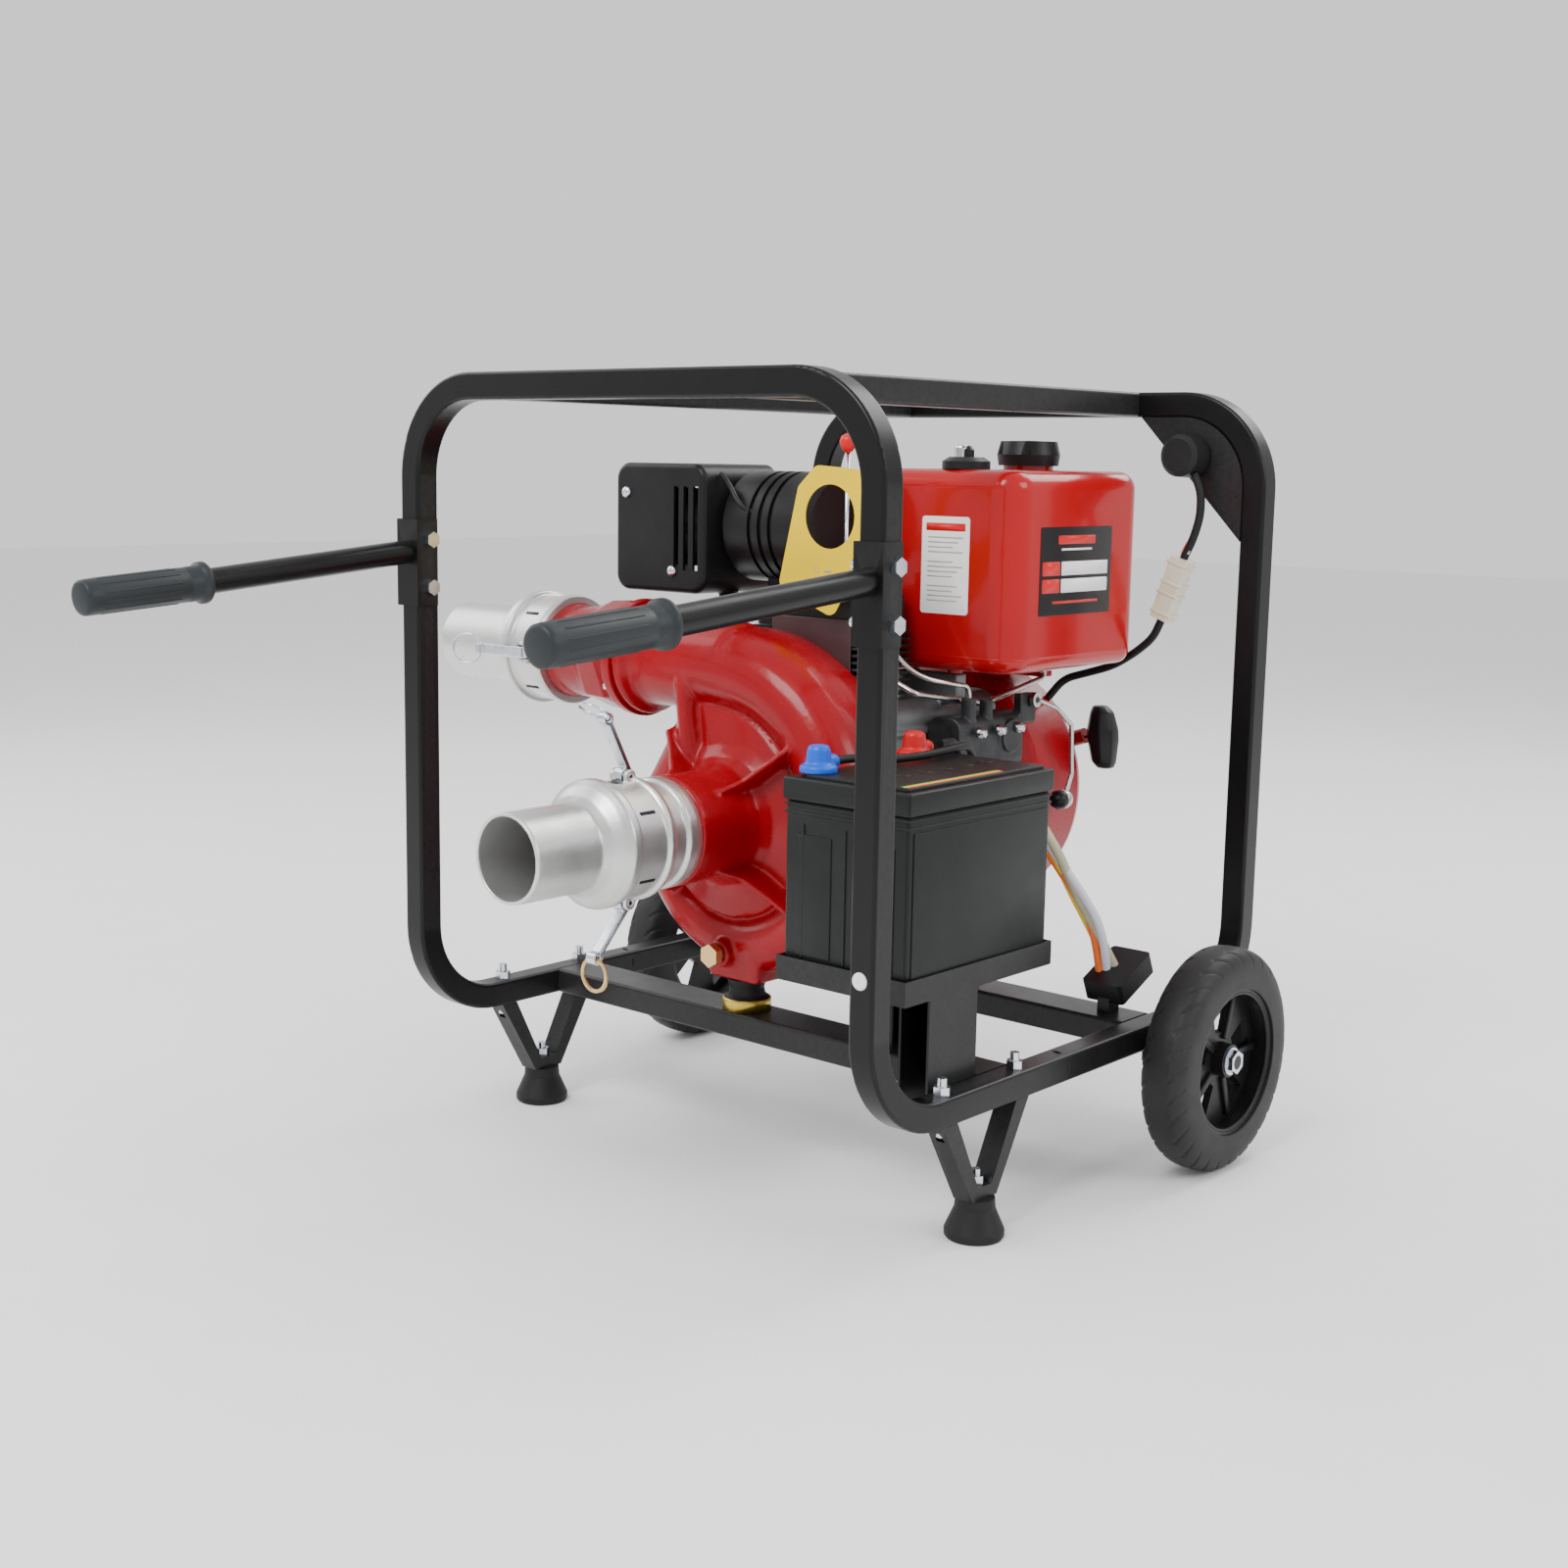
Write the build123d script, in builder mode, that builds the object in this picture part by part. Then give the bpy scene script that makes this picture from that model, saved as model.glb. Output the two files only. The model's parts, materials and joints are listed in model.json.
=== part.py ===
from build123d import *
from math import cos, radians, sin
import os

os.makedirs("parts", exist_ok=True)

# Portable diesel fire pump on a wheeled tube frame.  Millimetres, +Z up.
# Origin: on the floor, under the centre of the whole machine.
# -Y is the suction end, +Y the recoil starter end, +X the battery side.

# ---- driving dimensions ----
frame_x = 47.0            # middle plane of the frame
half_track = 335.0        # frame middle to the centre of an upright
front_y = -153.0          # centre of the front hoop
rear_y = 567.0            # centre of the rear hoop
rail_z = 153.0            # centre of the bottom rails
top_z = 875.0             # centre of the top tubes
joint_y = 178.0           # where the two hoops meet along the rails
tube = 30.0
tube_wall = 2.0
bend_radius = 100.0
top_bar_x = (-144.0, 207.0)

crank_x = 17.0            # pump and engine share this axis
crank_z = 395.0
volute_front = 33.0
volute_back = 137.0
volute_mid = (volute_front + volute_back) / 2
discharge_z = crank_z + 170.0
bore = 46.0               # radius of the water passage
nose = 52.0               # radius of a coupling's male nose

wheel_y = 398.0
wheel_radius = 130.0
wheel_width = 58.0
wheel_offset = 407.0      # frame middle to the middle of a tyre
axle_radius = 8.0
running_gap = 0.06

foot_y = 32.0
foot_bolt_spread = 64.0
bolt_radius = 5.0
bolt_hole = 5.3
handle_bolt_z = (651.0, 705.0)

battery_x = (200.0, 364.0)
battery_y = (-74.0, 177.0)
battery_z = (283.2, 455.0)
lid_top = 483.0

tank_x = (47.0, 247.0)
tank_y = (259.0, 534.0)
tank_z = (562.0, 794.0)
tank_foot_x = (75.0, 138.0)
tank_foot_y = (300.0, 480.0)
bracket_x = (63.0, 150.0)
bracket_top = 556.0
filler = (147.0, 427.0)
vent = (147.0, 300.0)

crank_axis = Axis((crank_x, 0, crank_z), (0, 1, 0))
discharge_axis = Axis((0, volute_mid, discharge_z), (1, 0, 0))
sides = (-1, 1)


# ---- helpers: planes, and shapes that are used many times ----
def facing_front(y):
    """Sketch plane with coordinates (x, z), normal towards -Y."""
    return Plane(origin=(0, y, 0), x_dir=(1, 0, 0), z_dir=(0, -1, 0))


def facing_right(x):
    """Sketch plane with coordinates (y, z), normal towards +X."""
    return Plane(origin=(x, 0, 0), x_dir=(0, 1, 0), z_dir=(1, 0, 0))


def turned(plane, axis, points, mode=Mode.ADD):
    """A closed outline turned once round an axis."""
    with BuildSketch(plane) as outline:
        with BuildLine():
            Polyline(*points, close=True)
        make_face()
    revolve(outline.sketch, axis=axis, mode=mode)


def rod(start, end, radius, mode=Mode.ADD):
    """A round bar from one point to another."""
    first = Vector(*start)
    last = Vector(*end)
    with BuildSketch(Plane(origin=first, z_dir=last - first)) as section:
        Circle(radius)
    extrude(section.sketch, amount=(last - first).length, mode=mode)


def hex_bar(start, end, across_flats, mode=Mode.ADD):
    """A hexagonal bar from one point to another."""
    first = Vector(*start)
    last = Vector(*end)
    with BuildSketch(Plane(origin=first, z_dir=last - first)) as section:
        RegularPolygon(across_flats / 2, 6, major_radius=False)
    extrude(section.sketch, amount=(last - first).length, mode=mode)


def block(x_range, y_range, z_range, mode=Mode.ADD):
    """A box given by its lowest and highest coordinates."""
    low = Vector(x_range[0], y_range[0], z_range[0])
    high = Vector(x_range[1], y_range[1], z_range[1])
    size = high - low
    with Locations((low + high) / 2):
        Box(size.X, size.Y, size.Z, mode=mode)


def pipe(points, radii, radius):
    """A round tube or lead along straight runs joined by tangent arcs."""
    with BuildLine() as path:
        FilletPolyline(*points, radius=radii)
    with BuildSketch(Plane(origin=path.line @ 0, z_dir=path.line % 0)) as section:
        Circle(radius)
    sweep(section.sketch, path=path.line)


def bend_radii(points):
    """For each corner, 0.45 of its shorter run over the tangent of half its turn."""
    radii = []
    for before, corner, after in zip(points, points[1:], points[2:]):
        run_in = Vector(*corner) - Vector(*before)
        run_out = Vector(*after) - Vector(*corner)
        half_turn = radians(run_in.get_angle(run_out) / 2)
        tangent = sin(half_turn) / cos(half_turn)
        radii.append(0.45 * min(run_in.length, run_out.length) / tangent)
    print("bend radii", [round(value, 1) for value in radii])
    return radii


def hoop(end_y, post_y):
    """Half of the frame: rail, upright, top, upright and rail in one bent square tube."""
    left = frame_x - half_track
    right = frame_x + half_track
    with BuildLine() as path:
        FilletPolyline(
            (left, end_y, rail_z),
            (left, post_y, rail_z),
            (left, post_y, top_z),
            (right, post_y, top_z),
            (right, post_y, rail_z),
            (right, end_y, rail_z),
            radius=bend_radius,
        )
    start = Plane(origin=path.line @ 0, x_dir=(1, 0, 0), z_dir=path.line % 0)
    with BuildSketch(start) as section:
        RectangleRounded(tube, tube, 4)
        inside = tube - 2 * tube_wall
        Rectangle(inside, inside, mode=Mode.SUBTRACT)
    sweep(section.sketch, path=path.line)


def bolt(head, direction, grip):
    """A hex bolt with its nut: the head starts at the given point."""
    start = Vector(*head)
    along = Vector(*direction)
    hex_bar(start - along * 7, start, 16)
    rod(start - along, start + along * (grip + 14), bolt_radius)
    hex_bar(start + along * grip, start + along * (grip + 8), 16)


# ---- frame ----
with BuildPart() as front_hoop:
    hoop(joint_y, front_y)
    for side in sides:
        x = frame_x + side * half_track
        for z in handle_bolt_z:
            rod((x - tube, front_y, z), (x + tube, front_y, z), bolt_hole, Mode.SUBTRACT)
        for y in (foot_y - foot_bolt_spread, foot_y + foot_bolt_spread):
            rod((x, y, rail_z - tube), (x, y, rail_z + tube), bolt_hole, Mode.SUBTRACT)

with BuildPart() as rear_hoop:
    hoop(joint_y, rear_y)

crossbar_y = (77.0, 362.0)
crossbar_width = 60.0
with BuildPart() as frame_bars:
    bar_start = front_y + tube / 2
    inside = tube - 2 * tube_wall
    with BuildSketch(facing_front(bar_start)) as top_pair:
        for x in top_bar_x:
            with Locations((x, top_z)):
                RectangleRounded(tube, tube, 4)
                Rectangle(inside, inside, mode=Mode.SUBTRACT)
    extrude(top_pair.sketch, amount=-(rear_y - tube / 2 - bar_start))
    bar_length = 2 * half_track - tube
    with BuildSketch(facing_right(frame_x - bar_length / 2)) as cross_pair:
        for y in crossbar_y:
            with Locations((y, rail_z)):
                RectangleRounded(crossbar_width, tube, 4)
                Rectangle(crossbar_width - 2 * tube_wall, inside, mode=Mode.SUBTRACT)
    extrude(cross_pair.sketch, amount=bar_length)

key_x = 299.0
key_z = 814.0
with BuildPart() as corner_gusset:
    opening = (2 * half_track - tube, top_z - rail_z - tube)
    right_inside = frame_x + half_track - tube / 2
    with BuildSketch(facing_front(556)):
        with BuildLine():
            Polyline((225, 860), (right_inside, 860), (right_inside, 714), close=True)
        make_face()
        with Locations((frame_x, (top_z + rail_z) / 2)):
            RectangleRounded(*opening, bend_radius - tube / 2, mode=Mode.INTERSECT)
        with Locations((key_x, key_z)):
            Circle(12.2, mode=Mode.SUBTRACT)
    extrude(amount=3)

with BuildPart() as battery_tray:
    tray_x = (battery_x[0] - 4, 367.0)
    tray_y = (battery_y[0] - 4, battery_y[1] + 4)
    inner_x = (tray_x[0] + 3, tray_x[1] - 3)
    inner_y = (tray_y[0] + 3, tray_y[1] - 3)
    block(tray_x, tray_y, (264, 290))
    block(inner_x, inner_y, (264, 280), Mode.SUBTRACT)
    block(inner_x, inner_y, (283, 290), Mode.SUBTRACT)
    block((328, 367), (-36, 46), (rail_z - 12, 280))
    block((331, 364), (-39, 43), (rail_z - 12, 280), Mode.SUBTRACT)
    block((203, 243), (62, 92), (rail_z + tube / 2, 280))
    block((206, 243), (65, 89), (rail_z + tube / 2, 280), Mode.SUBTRACT)

# ---- wheels and axle ----
with BuildPart() as axle:
    rod((frame_x - 436, wheel_y, wheel_radius), (frame_x + 436, wheel_y, wheel_radius), axle_radius)
    for side in sides:
        x = frame_x + side * half_track
        block((x - 15, x + 15), (wheel_y - 16, wheel_y + 16), (112, rail_z - tube / 2))
        collar = (x + side * 15.3, wheel_y, wheel_radius), (x + side * 43.6, wheel_y, wheel_radius)
        rod(*collar, 13)

wheel_axis = Axis((0, wheel_y, wheel_radius), (1, 0, 0))


def rim(side):
    """Wheel centre: hub, five-window disc and rim barrel, turned about the axle."""
    x = frame_x + side * wheel_offset
    z = wheel_radius
    inner = x - side * 28
    outer = x + side * 20
    plane = facing_front(wheel_y)
    turned(plane, wheel_axis, [(inner, z + 8), (outer, z + 8), (outer, z + 19), (inner, z + 22)])
    turned(plane, wheel_axis, [
        (x - 5, z + 15), (x + 5, z + 15), (x + 4, z + 80), (x + 24, z + 78),
        (x + 26, z + 84), (x - 26, z + 84), (x - 24, z + 78), (x - 4, z + 80),
    ])
    with BuildSketch(facing_right(x - 10)) as windows:
        with Locations((wheel_y, wheel_radius)):
            with PolarLocations(50, 5, start_angle=18):
                with Locations((0, 0)):
                    Trapezoid(40, 38, 76, rotation=90)
    extrude(windows.sketch, amount=20, mode=Mode.SUBTRACT)
    reach = (x - 40, wheel_y, wheel_radius), (x + 40, wheel_y, wheel_radius)
    rod(*reach, axle_radius + running_gap, Mode.SUBTRACT)


def tyre(side):
    """Rubber tyre with a round crown and sloped shoulders."""
    x = frame_x + side * wheel_offset
    half = wheel_width / 2
    z = wheel_radius
    with BuildSketch(facing_front(wheel_y)) as section:
        with BuildLine():
            Polyline((x - 26, z + 84.3), (x - half, z + 96), (x - half, z + 112), (x - 22, z + 124))
            ThreePointArc((x - 22, z + 124), (x, z + wheel_radius), (x + 22, z + 124))
            Polyline((x + 22, z + 124), (x + half, z + 112), (x + half, z + 96), (x + 26, z + 84.3))
            Line((x + 26, z + 84.3), (x - 26, z + 84.3))
        make_face()
    revolve(section.sketch, axis=wheel_axis)


with BuildPart() as left_rim:
    rim(-1)
with BuildPart() as right_rim:
    rim(1)
with BuildPart() as left_tyre:
    tyre(-1)
with BuildPart() as right_tyre:
    tyre(1)

# ---- front feet ----
with BuildPart() as foot_legs:
    for side in sides:
        x = frame_x + side * half_track
        with BuildSketch(facing_right(x - 12.5)) as vee:
            with BuildLine():
                Polyline(
                    (foot_y - 75, 138), (foot_y - 52, 138), (foot_y - 12, 58), (foot_y + 12, 58),
                    (foot_y + 52, 138), (foot_y + 75, 138), (foot_y + 21, 44), (foot_y - 21, 44),
                    close=True,
                )
            make_face()
        extrude(vee.sketch, amount=25)
        for offset in (-foot_bolt_spread, foot_bolt_spread):
            rod((x, foot_y + offset, 145), (x, foot_y + offset, 118), bolt_hole, Mode.SUBTRACT)
        rod((x, foot_y, 40), (x, foot_y, 62), bolt_hole, Mode.SUBTRACT)

with BuildPart() as rubber_feet:
    for side in sides:
        x = frame_x + side * half_track
        foot_axis = Axis((x, foot_y, 0), (0, 0, 1))
        turned(facing_front(foot_y), foot_axis, [
            (x, 0), (x + 30, 0), (x + 32, 3), (x + 32, 9), (x + 22, 32), (x + 21, 43.8),
            (x + 5.5, 43.8), (x + 5.5, 14), (x, 14),
        ])

# ---- handles ----
handle_root_z = 691.0
handle_end_y = -580.0
handle_end_z = 652.0
handle_radius = 13.5
grip_radius = 18.5
grip_share = 0.655        # where the grip starts along the handle
with BuildPart() as handle_tubes:
    for side in sides:
        x = frame_x + side * half_track
        block((x - 18, x + 18), (-171.2, -142), (630, 728))
        block((x - 15.2, x + 15.2), (-168.2, -140), (628, 730), Mode.SUBTRACT)
        for z in handle_bolt_z:
            rod((x - tube, front_y, z), (x + tube, front_y, z), bolt_hole, Mode.SUBTRACT)
        rod((x, -170.2, handle_root_z), (x, handle_end_y + 5.5, handle_end_z + 0.5), handle_radius)

with BuildPart() as handle_grips:
    for side in sides:
        x = frame_x + side * half_track
        root = Vector(x, -170.2, handle_root_z)
        tip = Vector(x, handle_end_y, handle_end_z)
        start = root + (tip - root) * grip_share
        along = (tip - root).normalized()
        rod(tuple(start), tuple(tip), grip_radius)
        rod(tuple(start), tuple(start + along * 7), 22)
        rod(tuple(start - along), tuple(tip - along * 4), handle_radius + 0.2, Mode.SUBTRACT)

with BuildPart() as fasteners:
    for side in sides:
        x = frame_x + side * half_track
        for z in handle_bolt_z:
            bolt((x + 18.2, front_y, z), (-1, 0, 0), 36.4)
        for y in (foot_y - foot_bolt_spread, foot_y + foot_bolt_spread):
            rod((x, y, 124), (x, y, 186), bolt_radius)
            hex_bar((x, y, rail_z + tube / 2 + 0.2), (x, y, 177), 16)
        rod((x, foot_y, 16), (x, foot_y, 74), bolt_radius)
        hex_bar((x, foot_y, 58.2), (x, foot_y, 67), 16)
        nut_x = frame_x + side * (wheel_offset + 20.3)
        hex_bar((nut_x, wheel_y, wheel_radius), (nut_x + side * 8.7, wheel_y, wheel_radius), 24)
        rod((nut_x, wheel_y, wheel_radius), (nut_x + side * 1.5, wheel_y, wheel_radius), 16)
    ends = (frame_x - 450, wheel_y, wheel_radius), (frame_x + 450, wheel_y, wheel_radius)
    rod(*ends, axle_radius + 0.2, Mode.SUBTRACT)

# ---- pump ----
base_z = 205.0
spiral_a = 168.0          # left to bottom
spiral_b = 180.0          # bottom to right
spiral_c = 216.0          # right to top
neck_end_x = crank_x - 171.0
neck_radius = 54.0
drain_x = 8.0
drain_z = 238.0
drain_face = 30.0


def volute_outline(inset):
    """Snail outline: three quarter arcs of growing radius, then the discharge throat."""
    a = spiral_a - inset
    b = spiral_b - inset
    c = spiral_c - inset
    low = (crank_x, crank_z - spiral_b + inset)
    left = (crank_x - a, low[1] + a)
    right = (crank_x + b, crank_z)
    top = (crank_x + spiral_b - spiral_c, crank_z + c)
    diagonal = cos(radians(45))
    with BuildLine() as outline:
        ThreePointArc(left, (crank_x - a * diagonal, low[1] + a * (1 - diagonal)), low)
        ThreePointArc(low, (crank_x + b * diagonal, crank_z - b * diagonal), right)
        ThreePointArc(right, (top[0] + c * diagonal, crank_z + c * diagonal), top)
        Polyline(top, (crank_x - 95, top[1]), (crank_x - 95, crank_z + 118 + inset), left)
    make_face(outline.edges())


with BuildPart() as volute_casing:
    with BuildSketch(facing_front(volute_front)):
        volute_outline(0)
    extrude(amount=-(volute_back - volute_front))
    fillet(volute_casing.faces().sort_by(Axis.Y)[0].edges(), 30)
    fillet(volute_casing.faces().sort_by(Axis.Y)[-1].edges(), 14)
    rod((neck_end_x, volute_mid, discharge_z), (crank_x - 40, volute_mid, discharge_z), neck_radius)
    rod((neck_end_x, volute_mid, discharge_z), (neck_end_x + 12, volute_mid, discharge_z), 66)
    turned(facing_right(crank_x), crank_axis, [
        (-64, crank_z), (-64, crank_z + 62), (volute_front - 12, crank_z + 62),
        (volute_front + 2, crank_z + 92), (volute_front + 2, crank_z),
    ])
    for angle in (45, 135, 225, 315):
        rib_plane = Plane(
            origin=(crank_x, 0, crank_z),
            x_dir=(cos(radians(angle)), 0, sin(radians(angle))),
            z_dir=(sin(radians(angle)), 0, -cos(radians(angle))),
        )
        with BuildSketch(rib_plane) as rib:
            with BuildLine():
                Polyline((55, -44), (128, -44), (128, -30), (112, -14), (60, 24), (55, 24), close=True)
            make_face()
        extrude(rib.sketch, amount=4, both=True)
    block((crank_x - 38, crank_x + 38), (50, 110), (base_z, 240))
    rod((drain_x, 60, drain_z), (drain_x, drain_face, drain_z), 15)
    with BuildSketch(facing_front(volute_front + 12)):
        volute_outline(18)
    extrude(amount=-(volute_back - volute_front - 24), mode=Mode.SUBTRACT)
    rod((crank_x, 130, crank_z), (crank_x, -70, crank_z), bore, Mode.SUBTRACT)
    rod((crank_x, 120, crank_z), (crank_x, 140, crank_z), 118, Mode.SUBTRACT)
    throat = (neck_end_x - 1, volute_mid, discharge_z), (crank_x - 40, volute_mid, discharge_z)
    rod(*throat, 38, Mode.SUBTRACT)
    rod((drain_x, 80, drain_z), (drain_x, drain_face - 4, drain_z), 8.3, Mode.SUBTRACT)

with BuildPart() as drain_plug:
    head_y = drain_face - 0.2
    rod((drain_x, 48, drain_z), (drain_x, head_y, drain_z), 8)
    hex_bar((drain_x, head_y, drain_z), (drain_x, head_y - 10, drain_z), 24)

with BuildPart() as pump_bracket:
    turned(facing_right(crank_x), crank_axis, [
        (volute_back - 11, crank_z + 25), (volute_back - 11, crank_z + 117.7),
        (volute_back, crank_z + 117.7), (volute_back, crank_z + 136), (147, crank_z + 136),
        (147, crank_z + 95), (165, crank_z + 95), (165, crank_z + 80), (147, crank_z + 80),
        (147, crank_z + 25),
    ])

with BuildPart() as shaft_seal:
    turned(facing_right(crank_x), crank_axis, [
        (128, crank_z + 15.08), (128, crank_z + 24.8), (146, crank_z + 24.8),
        (146, crank_z + 15.08),
    ])

with BuildPart() as impeller:
    turned(facing_right(crank_x), crank_axis, [
        (70, crank_z + 15.1), (70, crank_z + 26), (98, crank_z + 28), (100, crank_z + 112),
        (106, crank_z + 112), (106, crank_z + 28), (118, crank_z + 26), (118, crank_z + 15.1),
    ])
    turned(facing_right(crank_x), crank_axis, [
        (50, crank_z + 40), (50, crank_z + 44), (62, crank_z + 50), (66, crank_z + 112),
        (71, crank_z + 112), (68, crank_z + 44), (62, crank_z + 40),
    ])
    for number in range(6):
        angle = radians(60 * number)
        vane_plane = Plane(
            origin=(crank_x, 69, crank_z), x_dir=(cos(angle), 0, sin(angle)), z_dir=(0, -1, 0)
        )
        with BuildSketch(vane_plane) as vane:
            with BuildLine():
                ThreePointArc((29, 0), (70, 26), (104, 24))
            trace(line_width=6)
        extrude(vane.sketch, amount=-32)

# ---- engine ----
throw = 36.0
with BuildPart() as crankshaft:
    rod((crank_x, 66, crank_z), (crank_x, 262, crank_z), 15)
    rod((crank_x, 318, crank_z), (crank_x, 478, crank_z), 15)
    rod((crank_x, 262, crank_z + throw), (crank_x, 318, crank_z + throw), 14)
    for y in (274, 318):
        with BuildSketch(facing_front(y)) as cheek:
            with Locations((crank_x, crank_z)):
                SlotCenterToCenter(2 * throw, 44, rotation=90)
                with Locations((0, -throw)):
                    Circle(38)
        extrude(cheek.sketch, amount=12)
    hex_bar((crank_x, 56, crank_z), (crank_x, 69.8, crank_z), 30)

with BuildPart() as flywheel:
    turned(facing_right(crank_x), crank_axis, [
        (436, crank_z + 15.1), (436, crank_z + 125), (462, crank_z + 125),
        (462, crank_z + 95), (448, crank_z + 90), (448, crank_z + 30), (466, crank_z + 28),
        (466, crank_z + 15.1),
    ])
    with BuildSketch(facing_front(462)) as blades:
        with Locations((crank_x, crank_z)):
            with PolarLocations(108, 14):
                Rectangle(28, 4, rotation=25)
    extrude(blades.sketch, amount=-22)

case_x = (-88.0, 132.0)
case_y = (175.0, 400.0)
case_z = (232.0, 528.0)
with BuildPart() as crankcase:
    block(case_x, case_y, case_z)
    fillet(crankcase.edges().filter_by(Axis.Y), 26)
    for z in (300, 350, 440, 490):
        block((case_x[0] - 5, case_x[0] + 2), (190, 385), (z - 3, z + 3))
        block((case_x[1] - 2, case_x[1] + 4), (190, 385), (z - 3, z + 3))
    for y in (195, 335):
        block((case_x[0] - 10, case_x[1] + 10), (y, y + 50), (base_z, 240))
    block((case_x[0] + 12, case_x[1] - 12), (187, 388), (250, 510), Mode.SUBTRACT)
    rod((crank_x, 170, crank_z), (crank_x, 405, crank_z), 15.06, Mode.SUBTRACT)
    bracket_y = (tank_foot_y[0] - 10, tank_foot_y[0] + 10)
    block(bracket_x, bracket_y, (case_z[1] - 8, bracket_top))

with BuildPart() as crankcase_cover:
    with BuildSketch(facing_front(case_y[0])):
        with Locations((crank_x + 5, 380)):
            RectangleRounded(196, 240, 30)
        with Locations((crank_x, crank_z)):
            Circle(15.06, mode=Mode.SUBTRACT)
    extrude(amount=10)
    fillet(crankcase_cover.faces().sort_by(Axis.Y)[0].outer_wire().edges(), 4)

cylinder_x = (-55.0, 115.0)
cylinder_y = (148.0, 252.0)
with BuildPart() as cylinder_barrel:
    middle = ((cylinder_x[0] + cylinder_x[1]) / 2, (cylinder_y[0] + cylinder_y[1]) / 2)
    rod((middle[0], middle[1], case_z[1]), (middle[0], middle[1], 610), 50)
    for step in range(10):
        z = case_z[1] + 5 + step * 8
        with BuildSketch(Plane.XY.offset(z)) as fin:
            with Locations(middle):
                RectangleRounded(170, 104, 12)
        extrude(fin.sketch, amount=3)
    rod((middle[0], middle[1], case_z[1] - 5), (middle[0], middle[1], 611), 42, Mode.SUBTRACT)

lever_x = 66.0
lever_y = 182.0
lever_foot = 662.0
with BuildPart() as rocker_cover:
    block((-50, 108), (152, 250), (610, 652))
    fillet(rocker_cover.edges().filter_by(Axis.Z), 16)
    fillet(rocker_cover.faces().sort_by(Axis.Z)[-1].edges(), 8)
    block((-40, 98), (162, 240), (610, 642), Mode.SUBTRACT)
    for offset in (-13, 10):
        y = lever_y + offset
        block((lever_x - 7, lever_x + 7), (y, y + 3), (648, lever_foot + 7))
    rod((lever_x, lever_y - 12, lever_foot), (lever_x, lever_y + 12, lever_foot), 3)

muffler_x = (-262.0, -112.0)
muffler_y = (132.0, 262.0)
muffler_z = (640.0, 795.0)
guard_wall = 8.0
pipe_x = -140.0
pipe_y = 205.0
pipe_radius = 12.0
with BuildPart() as muffler_guard:
    block(muffler_x, muffler_y, muffler_z)
    fillet(muffler_guard.edges().filter_by(Axis.Y), 20)
    fillet(muffler_guard.faces().sort_by(Axis.Y)[0].edges(), 7)
    inner_x = (muffler_x[0] + guard_wall, muffler_x[1] - guard_wall)
    inner_y = (muffler_y[0] + 4, muffler_y[1] + 1)
    inner_z = (muffler_z[0] + guard_wall, muffler_z[1] - guard_wall)
    block(inner_x, inner_y, inner_z, Mode.SUBTRACT)
    for x in (-158, -142, -126):
        block((x - 4, x + 4), (125, 140), (668, 768), Mode.SUBTRACT)
    exit_hole = (pipe_x, pipe_y, muffler_z[0] - 1), (pipe_x, pipe_y, inner_z[0] + 1)
    rod(*exit_hole, pipe_radius + 4, Mode.SUBTRACT)

with BuildPart() as muffler:
    can_y = (muffler_y[0] + muffler_y[1]) / 2 + 5
    can_z = (muffler_z[0] + muffler_z[1]) / 2
    rod((inner_x[0] + 5, can_y, can_z), (inner_x[1] - 4, can_y, can_z), 48)
    for x in (-235, -185):
        rod((x, inner_y[0], can_z), (x, can_y, can_z), 6)
    port_z = 628
    pipe([(pipe_x, pipe_y, can_z), (pipe_x, pipe_y, port_z), (-56, pipe_y, port_z)], 18, pipe_radius)
    block((-58, -50), (pipe_y - 20, pipe_y + 20), (port_z - 15, port_z + 15))

with BuildPart() as air_cleaner:
    turned(facing_front(216), Axis((0, 216, 722), (1, 0, 0)), [
        (-104, 722), (-104, 780), (-98, 788), (-60, 788), (-60, 784), (-54, 784), (-54, 788),
        (-44, 788), (-44, 784), (-38, 784), (-38, 788), (-28, 788), (-28, 784), (-22, 784),
        (-22, 788), (24, 788), (32, 780), (32, 722),
    ])
    block((-60, 0), (190, 242), (652.2, 670))

with BuildPart() as decompression_lever:
    rod((lever_x, lever_y - 8, lever_foot), (lever_x, lever_y + 8, lever_foot), 6)
    rod((lever_x, lever_y, lever_foot), (lever_x, lever_y, 816), 2.5)
    with Locations((lever_x, lever_y, 822)):
        Sphere(10)
    rod((lever_x, lever_y - 10, lever_foot), (lever_x, lever_y + 10, lever_foot), 3.06, Mode.SUBTRACT)

tag_y = 126.0
with BuildPart() as hang_tag:
    with BuildSketch(facing_front(tag_y + 1.2)) as tag_shape:
        with BuildLine():
            Polyline(
                (12, 657), (40, 772), (66, 796), (132, 792), (138, 702), (94, 626), close=True
            )
        make_face()
        fillet(tag_shape.vertices(), 12)
        with Locations((87, 739)):
            Circle(36, mode=Mode.SUBTRACT)
    extrude(amount=1.2)

with BuildPart() as fuel_tank:
    block(tank_x, tank_y, tank_z)
    fillet(fuel_tank.edges().filter_by(Axis.Z), 34)
    fillet(fuel_tank.faces().sort_by(Axis.Z)[-1].edges(), 22)
    fillet(fuel_tank.faces().sort_by(Axis.Z)[0].edges(), 16)
    rod((*filler, 790), (*filler, 808), 30)
    inner = [(low + 14, high - 14) for low, high in (tank_x, tank_y)]
    block(inner[0], inner[1], (tank_z[0] + 8, tank_z[1] - 8), Mode.SUBTRACT)
    rod((*filler, 780), (*filler, 812), 25, Mode.SUBTRACT)
    for x in tank_foot_x:
        for y in tank_foot_y:
            rod((x, y, bracket_top), (x, y, tank_z[0] + 2), 10)

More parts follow.
